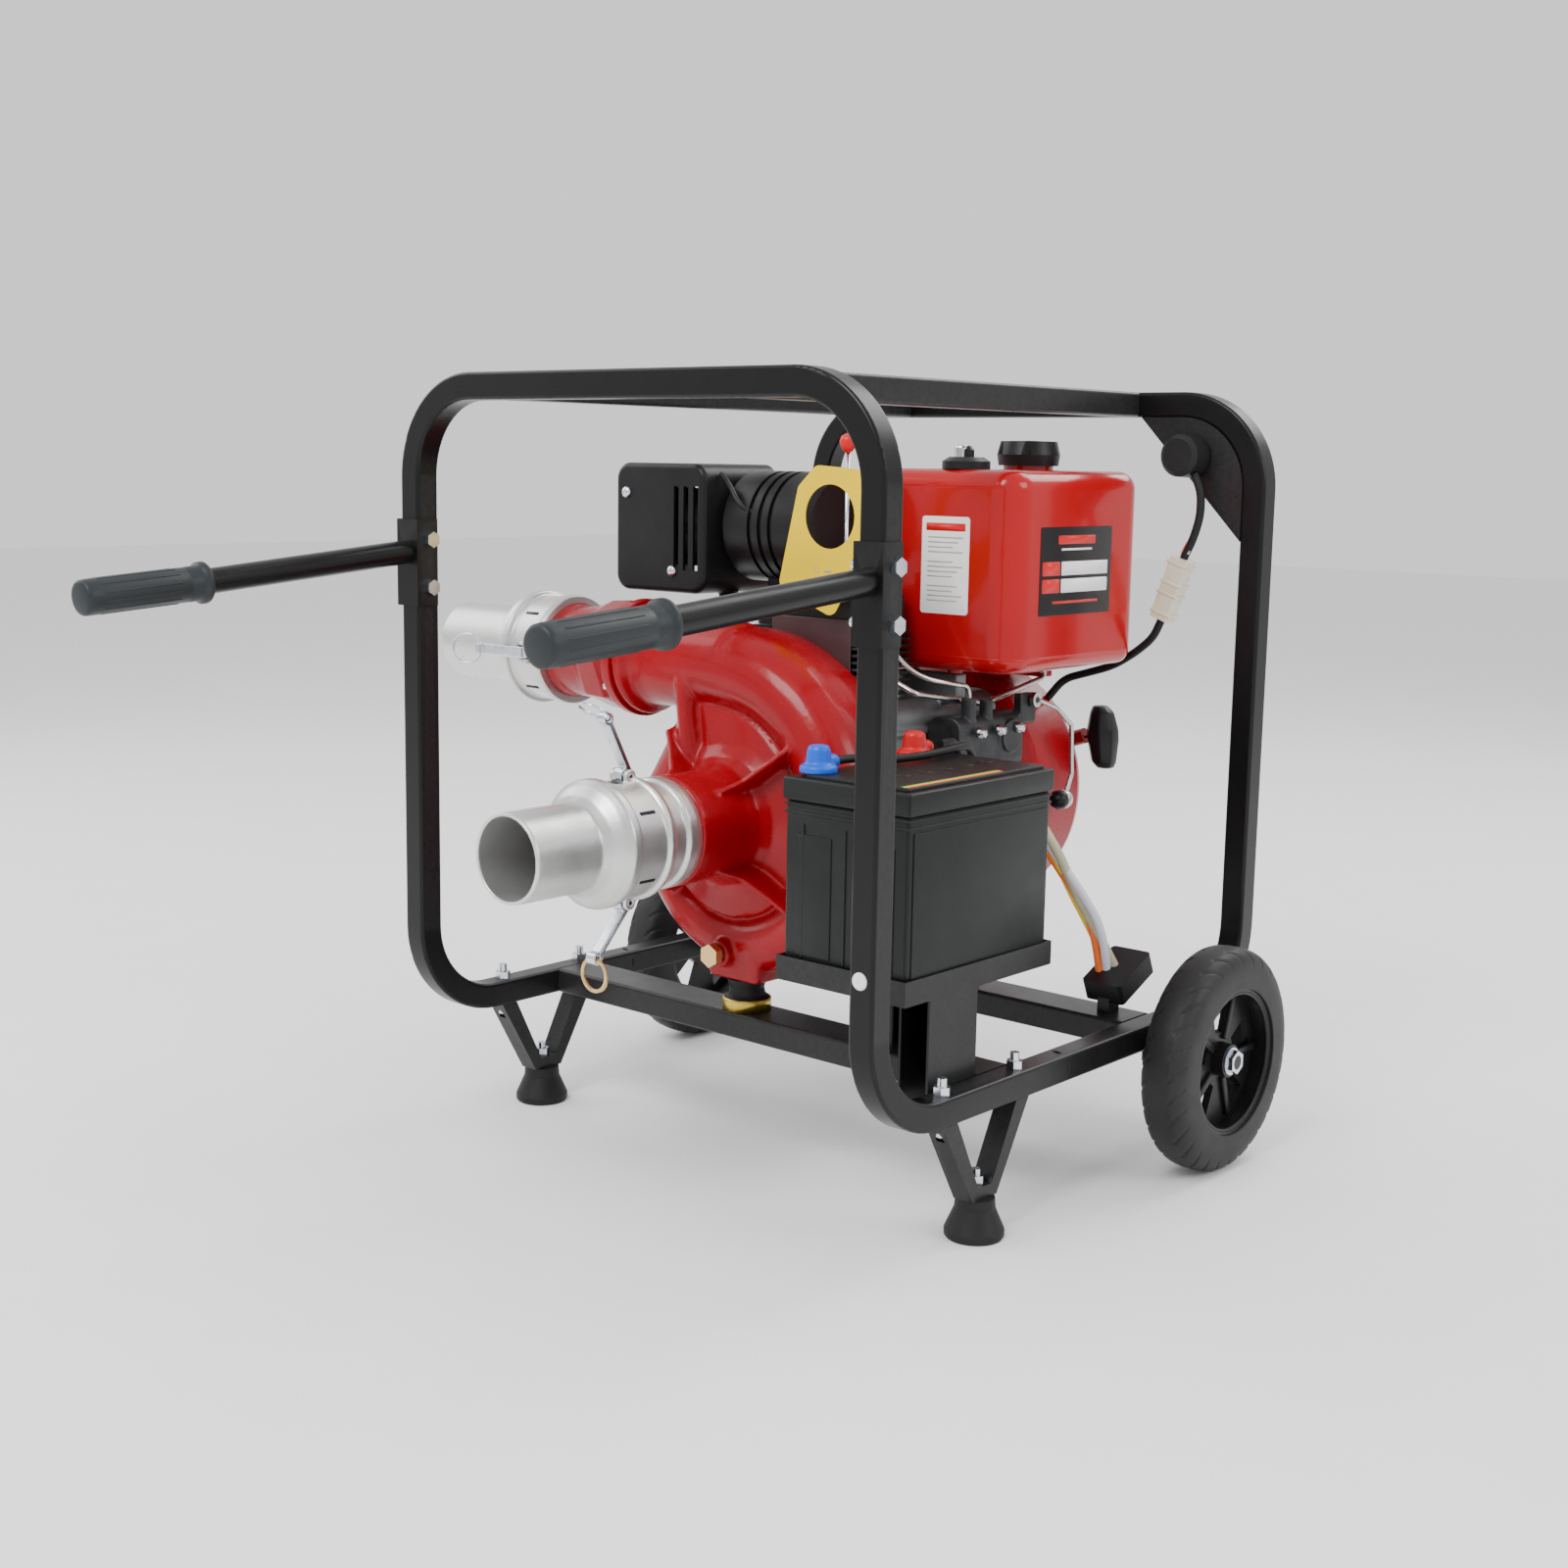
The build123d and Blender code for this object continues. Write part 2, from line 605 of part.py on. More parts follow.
with BuildPart() as fuel_cap:
    turned(facing_front(filler[1]), Axis((*filler, 0), (0, 0, 1)), [
        (filler[0], 809), (filler[0] + 31, 809), (filler[0] + 31, 799), (filler[0] + 36, 799),
        (filler[0] + 38, 812), (filler[0] + 34, 828), (filler[0], 829),
    ])
    with BuildSketch(Plane.XY.offset(812)) as notches:
        with Locations(filler):
            with PolarLocations(41, 6):
                Circle(7)
    extrude(notches.sketch, amount=20, mode=Mode.SUBTRACT)

with BuildPart() as tank_vent:
    turned(facing_front(vent[1]), Axis((*vent, 0), (0, 0, 1)), [
        (vent[0], 794), (vent[0] + 28, 794), (vent[0] + 28, 803), (vent[0] + 20, 808),
        (vent[0] + 9, 808), (vent[0] + 9, 816), (vent[0] + 5, 821), (vent[0], 821),
    ])

with BuildPart() as fuel_line:
    line_points = [
        (120, 196, 556), (157, 200, 540), (157, 338, 518), (157, 462, 541), (157, 462, 561.8),
    ]
    pipe(line_points, 9, 3.5)

with BuildPart() as injection_pump:
    block((132.2 + 4, 182), (255, 385), (440, 508))
    fillet(injection_pump.edges().filter_by(Axis.Y), 14)
    rod((172, 285, 500), (172, 285, 530), 9)
    rod((172, 320, 500), (172, 320, 526), 8)
    rod((178, 403 - 45, 480), (186, 403 - 45, 480), 20)
    block((170, 181), (380, 412), (492, 528))
    rod((180, 403, 520), (190, 403, 520), 4)

with BuildPart() as speed_lever:
    rod((183, 403, 520), (189, 403, 520), 9)
    pipe([(187, 409, 519), (197, 434, 508), (197, 467, 485), (197, 471, 424), (197, 458, 396)], 8, 3)
    with Locations((197, 455, 394)):
        Sphere(12)
    rod((182, 403, 520), (195, 403, 520), 4.06, Mode.SUBTRACT)

with BuildPart() as blower_shroud:
    turned(facing_right(crank_x), crank_axis, [
        (402, crank_z + 45), (402, crank_z + 138), (428, crank_z + 158), (436, crank_z + 160),
        (518, crank_z + 160), (528, crank_z + 156), (532, crank_z + 148), (532, crank_z + 112),
        (528, crank_z + 112), (528, crank_z + 146), (518, crank_z + 156),
        (438, crank_z + 156), (408, crank_z + 134), (408, crank_z + 45),
    ])
    bracket_y = (tank_foot_y[1] - 10, tank_foot_y[1] + 10)
    block(bracket_x, bracket_y, (540, bracket_top))

rope_exit = (168.0, 545.0, 462.0)
grip_width = 40.0
with BuildPart() as recoil_cover:
    turned(facing_right(crank_x), crank_axis, [
        (532.2, crank_z + 112), (532.2, crank_z + 134), (537, crank_z + 134),
        (548, crank_z + 122), (560, crank_z + 104), (566, crank_z + 60), (567, crank_z),
        (538, crank_z), (538, crank_z + 8), (562, crank_z + 8), (561, crank_z + 60),
        (555, crank_z + 100), (544, crank_z + 117), (536, crank_z + 118),
    ])
    rod((crank_x + 100, 545, crank_z + 50), rope_exit, 10)
    rod((crank_x + 60, 545, crank_z + 31), rope_exit, 4, Mode.SUBTRACT)
    with BuildSketch(facing_front(575)) as slots:
        with Locations((crank_x, crank_z)):
            with PolarLocations(70, 8):
                SlotOverall(44, 9)
    extrude(slots.sketch, amount=18, mode=Mode.SUBTRACT)

with BuildPart() as recoil_pulley:
    turned(facing_right(crank_x), crank_axis, [
        (540, crank_z + 8.06), (540, crank_z + 78), (543, crank_z + 78), (545, crank_z + 68),
        (549, crank_z + 68), (551, crank_z + 78), (554, crank_z + 78), (554, crank_z + 8.06),
    ])

with BuildPart() as recoil_handle:
    grip_plane = Plane(origin=(rope_exit[0] + 5, 545, 424), x_dir=(1, 0, 0), z_dir=(0, 0, 1))
    with BuildSketch(grip_plane):
        with Locations((grip_width / 2 + 1, 0)):
            RectangleRounded(grip_width, 44, 11)
    extrude(amount=78)
    fillet(recoil_handle.faces().sort_by(Axis.Z)[-1].edges(), 8)
    fillet(recoil_handle.faces().sort_by(Axis.Z)[0].edges(), 8)

with BuildPart() as starter_motor:
    rod((176, 228, 300), (176, 392, 300), 36)
    rod((176, 222, 300), (176, 229, 300), 20)
    rod((158, 260, 352), (158, 350, 352), 16)
    block((150, 166), (270, 340), (326, 346))
    block((case_x[1] + 4, 156), (300, 330), (275, 325))

with BuildPart() as regulator:
    tilted = Plane(origin=(330, 388, 196), x_dir=(1, 0, 0), z_dir=(0, sin(radians(-24)), cos(radians(24))))
    with BuildSketch(tilted):
        RectangleRounded(52, 74, 5)
    extrude(amount=26)
    block((322, 338), (352, 374), (168, 200))

# ---- battery ----
with BuildPart() as battery_case:
    block(battery_x, battery_y, battery_z)
    fillet(battery_case.edges().filter_by(Axis.Z), 5)

with BuildPart() as battery_lid:
    lid_x = (battery_x[0] - 1.5, battery_x[1] + 1.5)
    lid_y = (battery_y[0] - 1.5, battery_y[1] + 1.5)
    block(lid_x, lid_y, (battery_z[1], lid_top))
    fillet(battery_lid.edges().filter_by(Axis.Z), 5)
    fillet(battery_lid.faces().sort_by(Axis.Z)[-1].edges(), 3)

post_x = 224.0
post_y = (-48.0, 134.0)
with BuildPart() as terminal_caps:
    for y in post_y:
        turned(facing_front(y), Axis((post_x, y, 0), (0, 0, 1)), [
            (post_x, lid_top), (post_x + 20, lid_top), (post_x + 20, lid_top + 7),
            (post_x + 14, lid_top + 11), (post_x + 12, lid_top + 27), (post_x, lid_top + 29),
        ])
        rod((post_x, y, lid_top + 9), (post_x, y + 27, lid_top + 9), 8.5)

with BuildPart() as battery_leads:
    red_lead = [
        (post_x, 161.2, 493), (222, 190, 494), (212, 216, 472), (200, 236, 430),
        (194, 250, 388), (192, 256, 338),
    ]
    pipe(red_lead, bend_radii(red_lead), 4.5)
    black_lead = [
        (post_x, -20.8, 492), (228, 2, 493), (248, 32, 490), (256, 78, 490), (255, 130, 491),
        (248, 184, 493), (234, 212, 464), (226, 222, 420), (222, 216, 366), (216, 210, 310),
        (196, 210, 258), (142.4, 216, 224),
    ]
    pipe(black_lead, bend_radii(black_lead), 4.5)

# ---- electrical ----
switch_axis = Axis((key_x, 0, key_z), (0, 1, 0))
with BuildPart() as key_switch:
    turned(facing_right(key_x), switch_axis, [
        (515, key_z), (515, key_z + 20), (520, key_z + 25), (546, key_z + 26), (552.8, key_z + 24),
        (552.8, key_z + 12), (556.2, key_z + 12), (556.2, key_z + 17), (561, key_z + 17),
        (561, key_z + 4.05), (540, key_z + 4.05), (540, key_z),
    ])

with BuildPart() as ignition_key:
    rod((key_x, 542, key_z), (key_x, 563, key_z), 4)
    block((key_x - 1.2, key_x + 1.2), (561.5, 581.8), (key_z - 13, key_z + 13))

connector_top = Vector(305, 532, 692)
connector_low = Vector(279, 532, 618)
with BuildPart() as harness_connector:
    along = (connector_low - connector_top).normalized()
    with BuildSketch(Plane(origin=connector_top, x_dir=(0, 1, 0), z_dir=along)):
        RectangleRounded(22, 26, 3)
    extrude(amount=(connector_low - connector_top).length)

with BuildPart() as wiring_harness:
    upper = [(314, 532, 792.5), (324, 532, 772), (325, 532, 744), (317, 532, 716), (305.1, 532, 692.2)]
    pipe(upper, bend_radii(upper), 5)
    lower = [
        (278.9, 532, 617.8), (268, 532, 594), (244, 532, 574), (213, 531, 555), (178, 529, 544),
        (146, 524, 534), (130.5, 514, 510),
    ]
    pipe(lower, bend_radii(lower), 5)

# ---- quick couplings ----
def coupler(place, length):
    """Aluminium lever coupling with a plain hose tail, built along a local axis."""
    spin = Axis(place.origin, place.z_dir)
    profile = Plane(origin=place.origin, x_dir=place.z_dir, z_dir=place.y_dir)
    turned(profile, spin, [
        (0.2, nose + 0.4), (0.2, 66), (6, 68), (10, 68), (12, 64), (52, 64), (55, 70), (66, 70),
        (74, 64), (82, 54), (92, 48), (length - 2, 48), (length, 47), (length, 44),
        (82, 44), (64, 44), (56, nose + 0.4),
    ])


def suction_place():
    return Plane(origin=(crank_x, -110, crank_z), x_dir=(1, 0, 0), z_dir=(0, -1, 0))


def discharge_place():
    origin = (crank_x - 297, volute_mid, discharge_z)
    return Plane(origin=origin, x_dir=(0, 0, 1), z_dir=(-1, 0, 0))


pivot_along = 18.0
pivot_out = 69.0
arm_length = 74.0
pin_radius = 3.5
ring_rise = 30.0           # the upper suction ring stands out, clear of the hose tail when closed


def lever_mount(place, out):
    """Ears on both sides of a lever's slot, with the pin's holes."""
    outward = Vector(*out)
    pin_dir = place.z_dir.cross(outward)
    pivot = place.origin + place.z_dir * pivot_along + outward * pivot_out
    ear_plane = Plane(origin=pivot, x_dir=place.z_dir, z_dir=pin_dir)
    with BuildSketch(ear_plane) as slot:
        with Locations((2, 0)):
            Rectangle(36, 32)
    extrude(slot.sketch, amount=8.4, both=True, mode=Mode.SUBTRACT)
    for side in sides:
        with BuildSketch(ear_plane.offset(side * 8.4)) as ear:
            Circle(8)
            with Locations((0, -6 if ear_plane.y_dir.dot(outward) > 0 else 6)):
                Rectangle(16, 12)
        extrude(ear.sketch, amount=side * 5)
    start = pivot - pin_dir * 20
    rod(tuple(start), tuple(pivot + pin_dir * 20), pin_radius + running_gap, Mode.SUBTRACT)


def lever(place, out, opened):
    """Cam lever on its pin, with its pull ring; opened is its angle from closed."""
    outward = Vector(*out)
    pin_dir = place.z_dir.cross(outward)
    pivot = place.origin + place.z_dir * pivot_along + outward * pivot_out
    turn = radians(opened)
    arm_dir = place.z_dir * cos(turn) + outward * sin(turn)
    face_dir = outward * cos(turn) - place.z_dir * sin(turn)
    flat = Plane(origin=pivot, x_dir=arm_dir, z_dir=pin_dir)
    up = 1 if flat.y_dir.dot(face_dir) > 0 else -1
    with BuildSketch(flat) as cam:
        Circle(9.5)
        with Locations((arm_length / 2 - 3, up * 7)):
            Rectangle(arm_length - 4, 6)
        with Locations((arm_length - 5, up * 7)):
            Circle(7)
            Circle(3.2, mode=Mode.SUBTRACT)
    extrude(cam.sketch, amount=6.5, both=True)
    rod(tuple(pivot - pin_dir * 13), tuple(pivot + pin_dir * 13), pin_radius)
    return pivot + arm_dir * (arm_length - 5) + face_dir * 7


def pull_ring(eye, hang, across):
    """Split ring through the lever's eye, hanging in the given direction."""
    down = Vector(*hang).normalized()
    side = Vector(*across).normalized()
    middle = eye + down * 18
    with BuildSketch(Plane(origin=eye, x_dir=down, z_dir=side)) as wire:
        Circle(1.6)
    revolve(wire.sketch, axis=Axis(middle, down.cross(side)))


with BuildPart() as suction_adaptor:
    turned(facing_right(crank_x), crank_axis, [
        (-64.2, crank_z + bore), (-64.2, crank_z + 60), (-72, crank_z + 62), (-84, crank_z + 62),
        (-88, crank_z + 58), (-104, crank_z + 58), (-106, crank_z + 61), (-109.8, crank_z + 61),
        (-109.8, crank_z + nose), (-160, crank_z + nose), (-160, crank_z + bore),
    ])

with BuildPart() as suction_coupler:
    coupler(suction_place(), 183)
    lever_mount(suction_place(), (0, 0, 1))
    lever_mount(suction_place(), (0, 0, -1))

with BuildPart() as suction_top_lever:
    eye = lever(suction_place(), (0, 0, 1), 62)
    pull_ring(eye, (0, -cos(radians(ring_rise)), sin(radians(ring_rise))), (1, 0, 0))

with BuildPart() as suction_bottom_lever:
    eye = lever(suction_place(), (0, 0, -1), 48)
    pull_ring(eye, (0, 0, -1), (1, 0, 0))

with BuildPart() as discharge_adaptor:
    start_x = neck_end_x - 0.2
    joint_x = discharge_place().origin.X + 0.2
    z = discharge_z
    turned(facing_front(volute_mid), discharge_axis, [
        (start_x, z + bore), (start_x, z + 70), (start_x - 14, z + 70), (start_x - 20, z + 60),
        (start_x - 44, z + 62), (start_x - 96, z + 58), (joint_x, z + 58), (joint_x, z + nose),
        (joint_x - 50, z + nose), (joint_x - 50, z + bore),
    ])

with BuildPart() as discharge_coupler:
    coupler(discharge_place(), 203)
    lever_mount(discharge_place(), (0, -1, 0))
    lever_mount(discharge_place(), (0, 1, 0))

with BuildPart() as discharge_front_lever:
    eye = lever(discharge_place(), (0, -1, 0), 4)
    pull_ring(eye, (-0.85, -0.5, 0), (0, 0, 1))

with BuildPart() as discharge_rear_lever:
    eye = lever(discharge_place(), (0, 1, 0), 4)
    pull_ring(eye, (-0.85, 0.5, 0), (0, 0, 1))

# ---- rubber mounts between frame and machine ----
with BuildPart() as vibration_mounts:
    for x, y in ((crank_x, 77.0), (crank_x - 95, 362.0), (crank_x + 95, 362.0)):
        turned(facing_front(y), Axis((x, y, 0), (0, 0, 1)), [
            (x, 168), (x + 27, 168), (x + 27, 182), (x + 22, 186), (x + 20, 194), (x + 24, 204.8),
            (x, 204.8),
        ])

assembly = {
    "front_hoop": front_hoop, "rear_hoop": rear_hoop, "frame_bars": frame_bars,
    "muffler": muffler, "corner_gusset": corner_gusset, "battery_tray": battery_tray,
    "axle": axle, "left_rim": left_rim, "right_rim": right_rim, "left_tyre": left_tyre,
    "right_tyre": right_tyre, "foot_legs": foot_legs,
    "rubber_feet": rubber_feet, "handle_tubes": handle_tubes, "handle_grips": handle_grips,
    "fasteners": fasteners, "volute_casing": volute_casing, "drain_plug": drain_plug,
    "pump_bracket": pump_bracket, "shaft_seal": shaft_seal, "impeller": impeller,
    "crankshaft": crankshaft, "flywheel": flywheel, "crankcase": crankcase,
    "crankcase_cover": crankcase_cover, "cylinder_barrel": cylinder_barrel,
    "rocker_cover": rocker_cover, "muffler_guard": muffler_guard,
    "air_cleaner": air_cleaner, "decompression_lever": decompression_lever,
    "hang_tag": hang_tag, "fuel_tank": fuel_tank,
    "fuel_cap": fuel_cap, "tank_vent": tank_vent, "fuel_line": fuel_line,
    "injection_pump": injection_pump, "speed_lever": speed_lever,
    "blower_shroud": blower_shroud, "recoil_cover": recoil_cover,
    "recoil_pulley": recoil_pulley, "recoil_handle": recoil_handle,
    "starter_motor": starter_motor, "regulator": regulator, "battery_case": battery_case,
    "battery_lid": battery_lid, "terminal_caps": terminal_caps, "battery_leads": battery_leads,
    "key_switch": key_switch, "ignition_key": ignition_key,
    "harness_connector": harness_connector, "wiring_harness": wiring_harness,
    "suction_adaptor": suction_adaptor, "suction_coupler": suction_coupler,
    "suction_top_lever": suction_top_lever, "suction_bottom_lever": suction_bottom_lever,
    "discharge_adaptor": discharge_adaptor, "discharge_coupler": discharge_coupler,
    "discharge_front_lever": discharge_front_lever,
    "discharge_rear_lever": discharge_rear_lever, "vibration_mounts": vibration_mounts,
}
print(len(assembly), "nodes")
for label, piece in assembly.items():
    piece.part.label = label
    export_step(piece.part, f"parts/{label}.step")
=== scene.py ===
import json
import math

import bmesh
import bpy
from bpy.props import FloatProperty, FloatVectorProperty, IntProperty, PointerProperty
from mathutils import Matrix, Vector


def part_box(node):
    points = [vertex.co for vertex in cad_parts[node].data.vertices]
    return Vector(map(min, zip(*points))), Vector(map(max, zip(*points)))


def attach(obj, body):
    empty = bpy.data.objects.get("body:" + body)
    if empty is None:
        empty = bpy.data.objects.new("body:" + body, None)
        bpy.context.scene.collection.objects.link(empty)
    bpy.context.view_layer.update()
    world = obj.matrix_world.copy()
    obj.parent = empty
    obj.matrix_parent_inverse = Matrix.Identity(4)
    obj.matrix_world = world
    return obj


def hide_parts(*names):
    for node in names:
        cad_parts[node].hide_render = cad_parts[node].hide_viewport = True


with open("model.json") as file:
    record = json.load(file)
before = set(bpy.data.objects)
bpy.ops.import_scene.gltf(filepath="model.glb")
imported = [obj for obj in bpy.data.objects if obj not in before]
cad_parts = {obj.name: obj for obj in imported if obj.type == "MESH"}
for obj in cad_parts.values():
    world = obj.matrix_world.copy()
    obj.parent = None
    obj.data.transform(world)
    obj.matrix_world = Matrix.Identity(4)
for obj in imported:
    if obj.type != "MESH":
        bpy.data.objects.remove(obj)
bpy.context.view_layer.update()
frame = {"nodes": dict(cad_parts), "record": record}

bl_info = {
    "name": "Portable fire pump",
    "version": (1, 0, 0),
    "blender": (4, 5, 0),
    "location": "View3D > Sidebar > Fire pump",
    "description": "Builds the visible pieces and finishes of a portable fire pump",
    "category": "Object",
}

MM = 0.001
JOINTS = {joint["name"]: joint for joint in frame["record"]["behaviour"]["joints"]}
PUMP_CENTRE = Vector(JOINTS["rotor_spin"]["pos_m"])


# ---- places, read from the frame ----
def mm(x, y, z):
    return Vector((x, y, z)) * MM


def at(node, share, offset=(0, 0, 0)):
    """A point inside a CAD node's box, as shares of its size, plus an offset in millimetres."""
    low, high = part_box(node)
    size = high - low
    point = Vector(low[i] + size[i] * share[i] for i in range(3))
    return point + mm(*offset)


def middle(node):
    return at(node, (0.5, 0.5, 0.5))


# ---- meshes ----
def placed(name, data):
    """A new object in the scene that shows the given data."""
    piece = bpy.data.objects.new(name, data)
    bpy.context.scene.collection.objects.link(piece)
    return piece


def new_mesh(name, vertices, faces, smooth=True):
    mesh = bpy.data.meshes.new(name)
    mesh.from_pydata([tuple(v) for v in vertices], [], faces)
    mesh.validate()
    work = bmesh.new()
    work.from_mesh(mesh)
    bmesh.ops.recalc_face_normals(work, faces=work.faces)
    work.to_mesh(mesh)
    work.free()
    if smooth:
        mesh.shade_smooth()
    return placed(name, mesh)


def grid_faces(rows, columns, wrap_rows, wrap_columns):
    faces = []
    for i in range(rows if wrap_rows else rows - 1):
        for j in range(columns if wrap_columns else columns - 1):
            below = (i + 1) % rows
            beside = (j + 1) % columns
            corner = i * columns
            faces.append((corner + j, corner + beside, below * columns + beside, below * columns + j))
    return faces


def axes_for(direction):
    """Two directions square to the given one."""
    along = Vector(direction).normalized()
    side = along.orthogonal().normalized()
    return along, side, along.cross(side)


def spoke(angle, axis="Y"):
    """The direction square to the Y or X axis at an angle in radians."""
    across, up = math.cos(angle), math.sin(angle)
    return Vector((across, 0, up)) if axis == "Y" else Vector((0, across, up))


def turned_to(first, second):
    """The rotation whose first two axes point the given ways."""
    return Matrix((first, second, first.cross(second))).transposed()


def lathe(name, origin, direction, profile, segments=96, closed=True):
    """A profile of (distance along, radius) in millimetres turned about an axis."""
    along, side, up = axes_for(direction)
    points = []
    for step in range(segments):
        angle = math.tau * step / segments
        out = side * math.cos(angle) + up * math.sin(angle)
        for distance, radius in profile:
            points.append(origin + (along * distance + out * max(radius, 0.02)) * MM)
    faces = grid_faces(segments, len(profile), True, closed)
    return new_mesh(name, points, faces)


def soften(piece, width, segments=3, angle=32):
    """Round the piece's sharp edges."""
    bevel = piece.modifiers.new("rounded edges", "BEVEL")
    bevel.width = width * MM
    bevel.segments = segments
    bevel.limit_method = "ANGLE"
    bevel.angle_limit = math.radians(angle)
    bevel.harden_normals = False
    return apply_all(piece)


def apply_all(piece):
    """Turn the piece's modifiers into its mesh."""
    graph = bpy.context.evaluated_depsgraph_get()
    graph.update()
    mesh = bpy.data.meshes.new_from_object(piece.evaluated_get(graph))
    piece.modifiers.clear()
    old = piece.data
    piece.data = mesh
    if old.users == 0:
        bpy.data.meshes.remove(old)
    return piece


def slab(name, centre, size, rounding=1.0, turn=None):
    """A block with rounded edges; size in millimetres."""
    half = Vector(size) * MM / 2
    corners = [(x, y, z) for x in (-1, 1) for y in (-1, 1) for z in (-1, 1)]
    spin = turn or Matrix.Identity(3)
    points = [centre + spin @ Vector((c[0] * half.x, c[1] * half.y, c[2] * half.z)) for c in corners]
    faces = [(0, 1, 3, 2), (4, 6, 7, 5), (0, 4, 5, 1), (2, 3, 7, 6), (0, 2, 6, 4), (1, 5, 7, 3)]
    piece = new_mesh(name, points, faces, smooth=False)
    soften(piece, rounding)
    piece.data.shade_smooth()
    return piece


def plate(name, outline, origin, right, up, thickness, rounding=0.4):
    """A flat plate: outline in millimetres along right and up, raised along right x up."""
    right = Vector(right).normalized()
    up = Vector(up).normalized()
    normal = right.cross(up)
    count = len(outline)
    points = []
    for height in (0, thickness):
        for u, v in outline:
            points.append(origin + (right * u + up * v + normal * height) * MM)
    faces = [tuple(range(count))[::-1], tuple(range(count, 2 * count))]
    for i in range(count):
        j = (i + 1) % count
        faces.append((i, j, count + j, count + i))
    piece = new_mesh(name, points, faces, smooth=False)
    if rounding:
        soften(piece, rounding, 2)
    piece.data.shade_smooth()
    return piece


def rounded_outline(width, height, radius, steps=6):
    """A rectangle with round corners, as points about its middle."""
    points = []
    for number, (sx, sy) in enumerate(((1, 1), (-1, 1), (-1, -1), (1, -1))):
        for step in range(steps + 1):
            angle = math.pi / 2 * (number + step / steps)
            x = sx * (width / 2 - radius) + radius * math.cos(angle)
            y = sy * (height / 2 - radius) + radius * math.sin(angle)
            points.append((x, y))
    return points


def wire(name, points, radius, smooth=True):
    """A round wire or hose along smooth points in metres; radius in millimetres."""
    curve = bpy.data.curves.new(name, "CURVE")
    curve.dimensions = "3D"
    curve.bevel_depth = radius * MM
    curve.bevel_resolution = 4
    curve.resolution_u = 10
    curve.use_fill_caps = True
    spline = curve.splines.new("NURBS")
    spline.points.add(len(points) - 1)
    for target, point in zip(spline.points, points):
        target.co = (*point, 1)
    spline.order_u = 3 if smooth else 2
    spline.use_endpoint_u = True
    holder = placed(name, curve)
    graph = bpy.context.evaluated_depsgraph_get()
    graph.update()
    mesh = bpy.data.meshes.new_from_object(holder.evaluated_get(graph))
    bpy.data.objects.remove(holder)
    bpy.data.curves.remove(curve)
    mesh.shade_smooth()
    return placed(name, mesh)


def ring(name, centre, normal, radius, section, segments=48):
    profile = []
    for step in range(12):
        angle = math.tau * step / 12
        profile.append((section * math.sin(angle), radius + section * math.cos(angle)))
    return lathe(name, centre, normal, profile, segments)


def joined(name, pieces):
    """Several loose pieces made one object."""
    work = bmesh.new()
    for piece in pieces:
        work.from_mesh(piece.data)
    mesh = bpy.data.meshes.new(name)
    work.to_mesh(mesh)
    work.free()
    for piece in pieces:
        data = piece.data
        bpy.data.objects.remove(piece)
        bpy.data.meshes.remove(data)
    mesh.shade_smooth()
    return placed(name, mesh)


def cast(piece, voxel, passes=6):
    """Melt a piece into one skin with the soft inside corners of a casting."""
    remesh = piece.modifiers.new("skin", "REMESH")
    remesh.mode = "VOXEL"
    remesh.voxel_size = voxel * MM
    remesh.use_smooth_shade = True
    settle = piece.modifiers.new("settle", "SMOOTH")
    settle.factor = 0.5
    settle.iterations = passes
    apply_all(piece)
    piece.data.shade_smooth()
    return piece


def cast_from(node, name, voxel, passes=4):
    """A cast skin grown over a CAD node's own shape."""
    source = frame["nodes"][node]
    piece = placed(name, source.data.copy())
    piece.data.materials.clear()
    return cast(piece, voxel, passes)


def done(piece, kit, slot, replaces=(), body="chassis", look=None):
    """Give a piece its finish and the body that it moves with, and hide the parts that it replaces."""
    piece.data.materials.clear()
    piece.data.materials.append(kit[look or slot])
    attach(piece, body)
    if replaces:
        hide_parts(*replaces)
    return piece


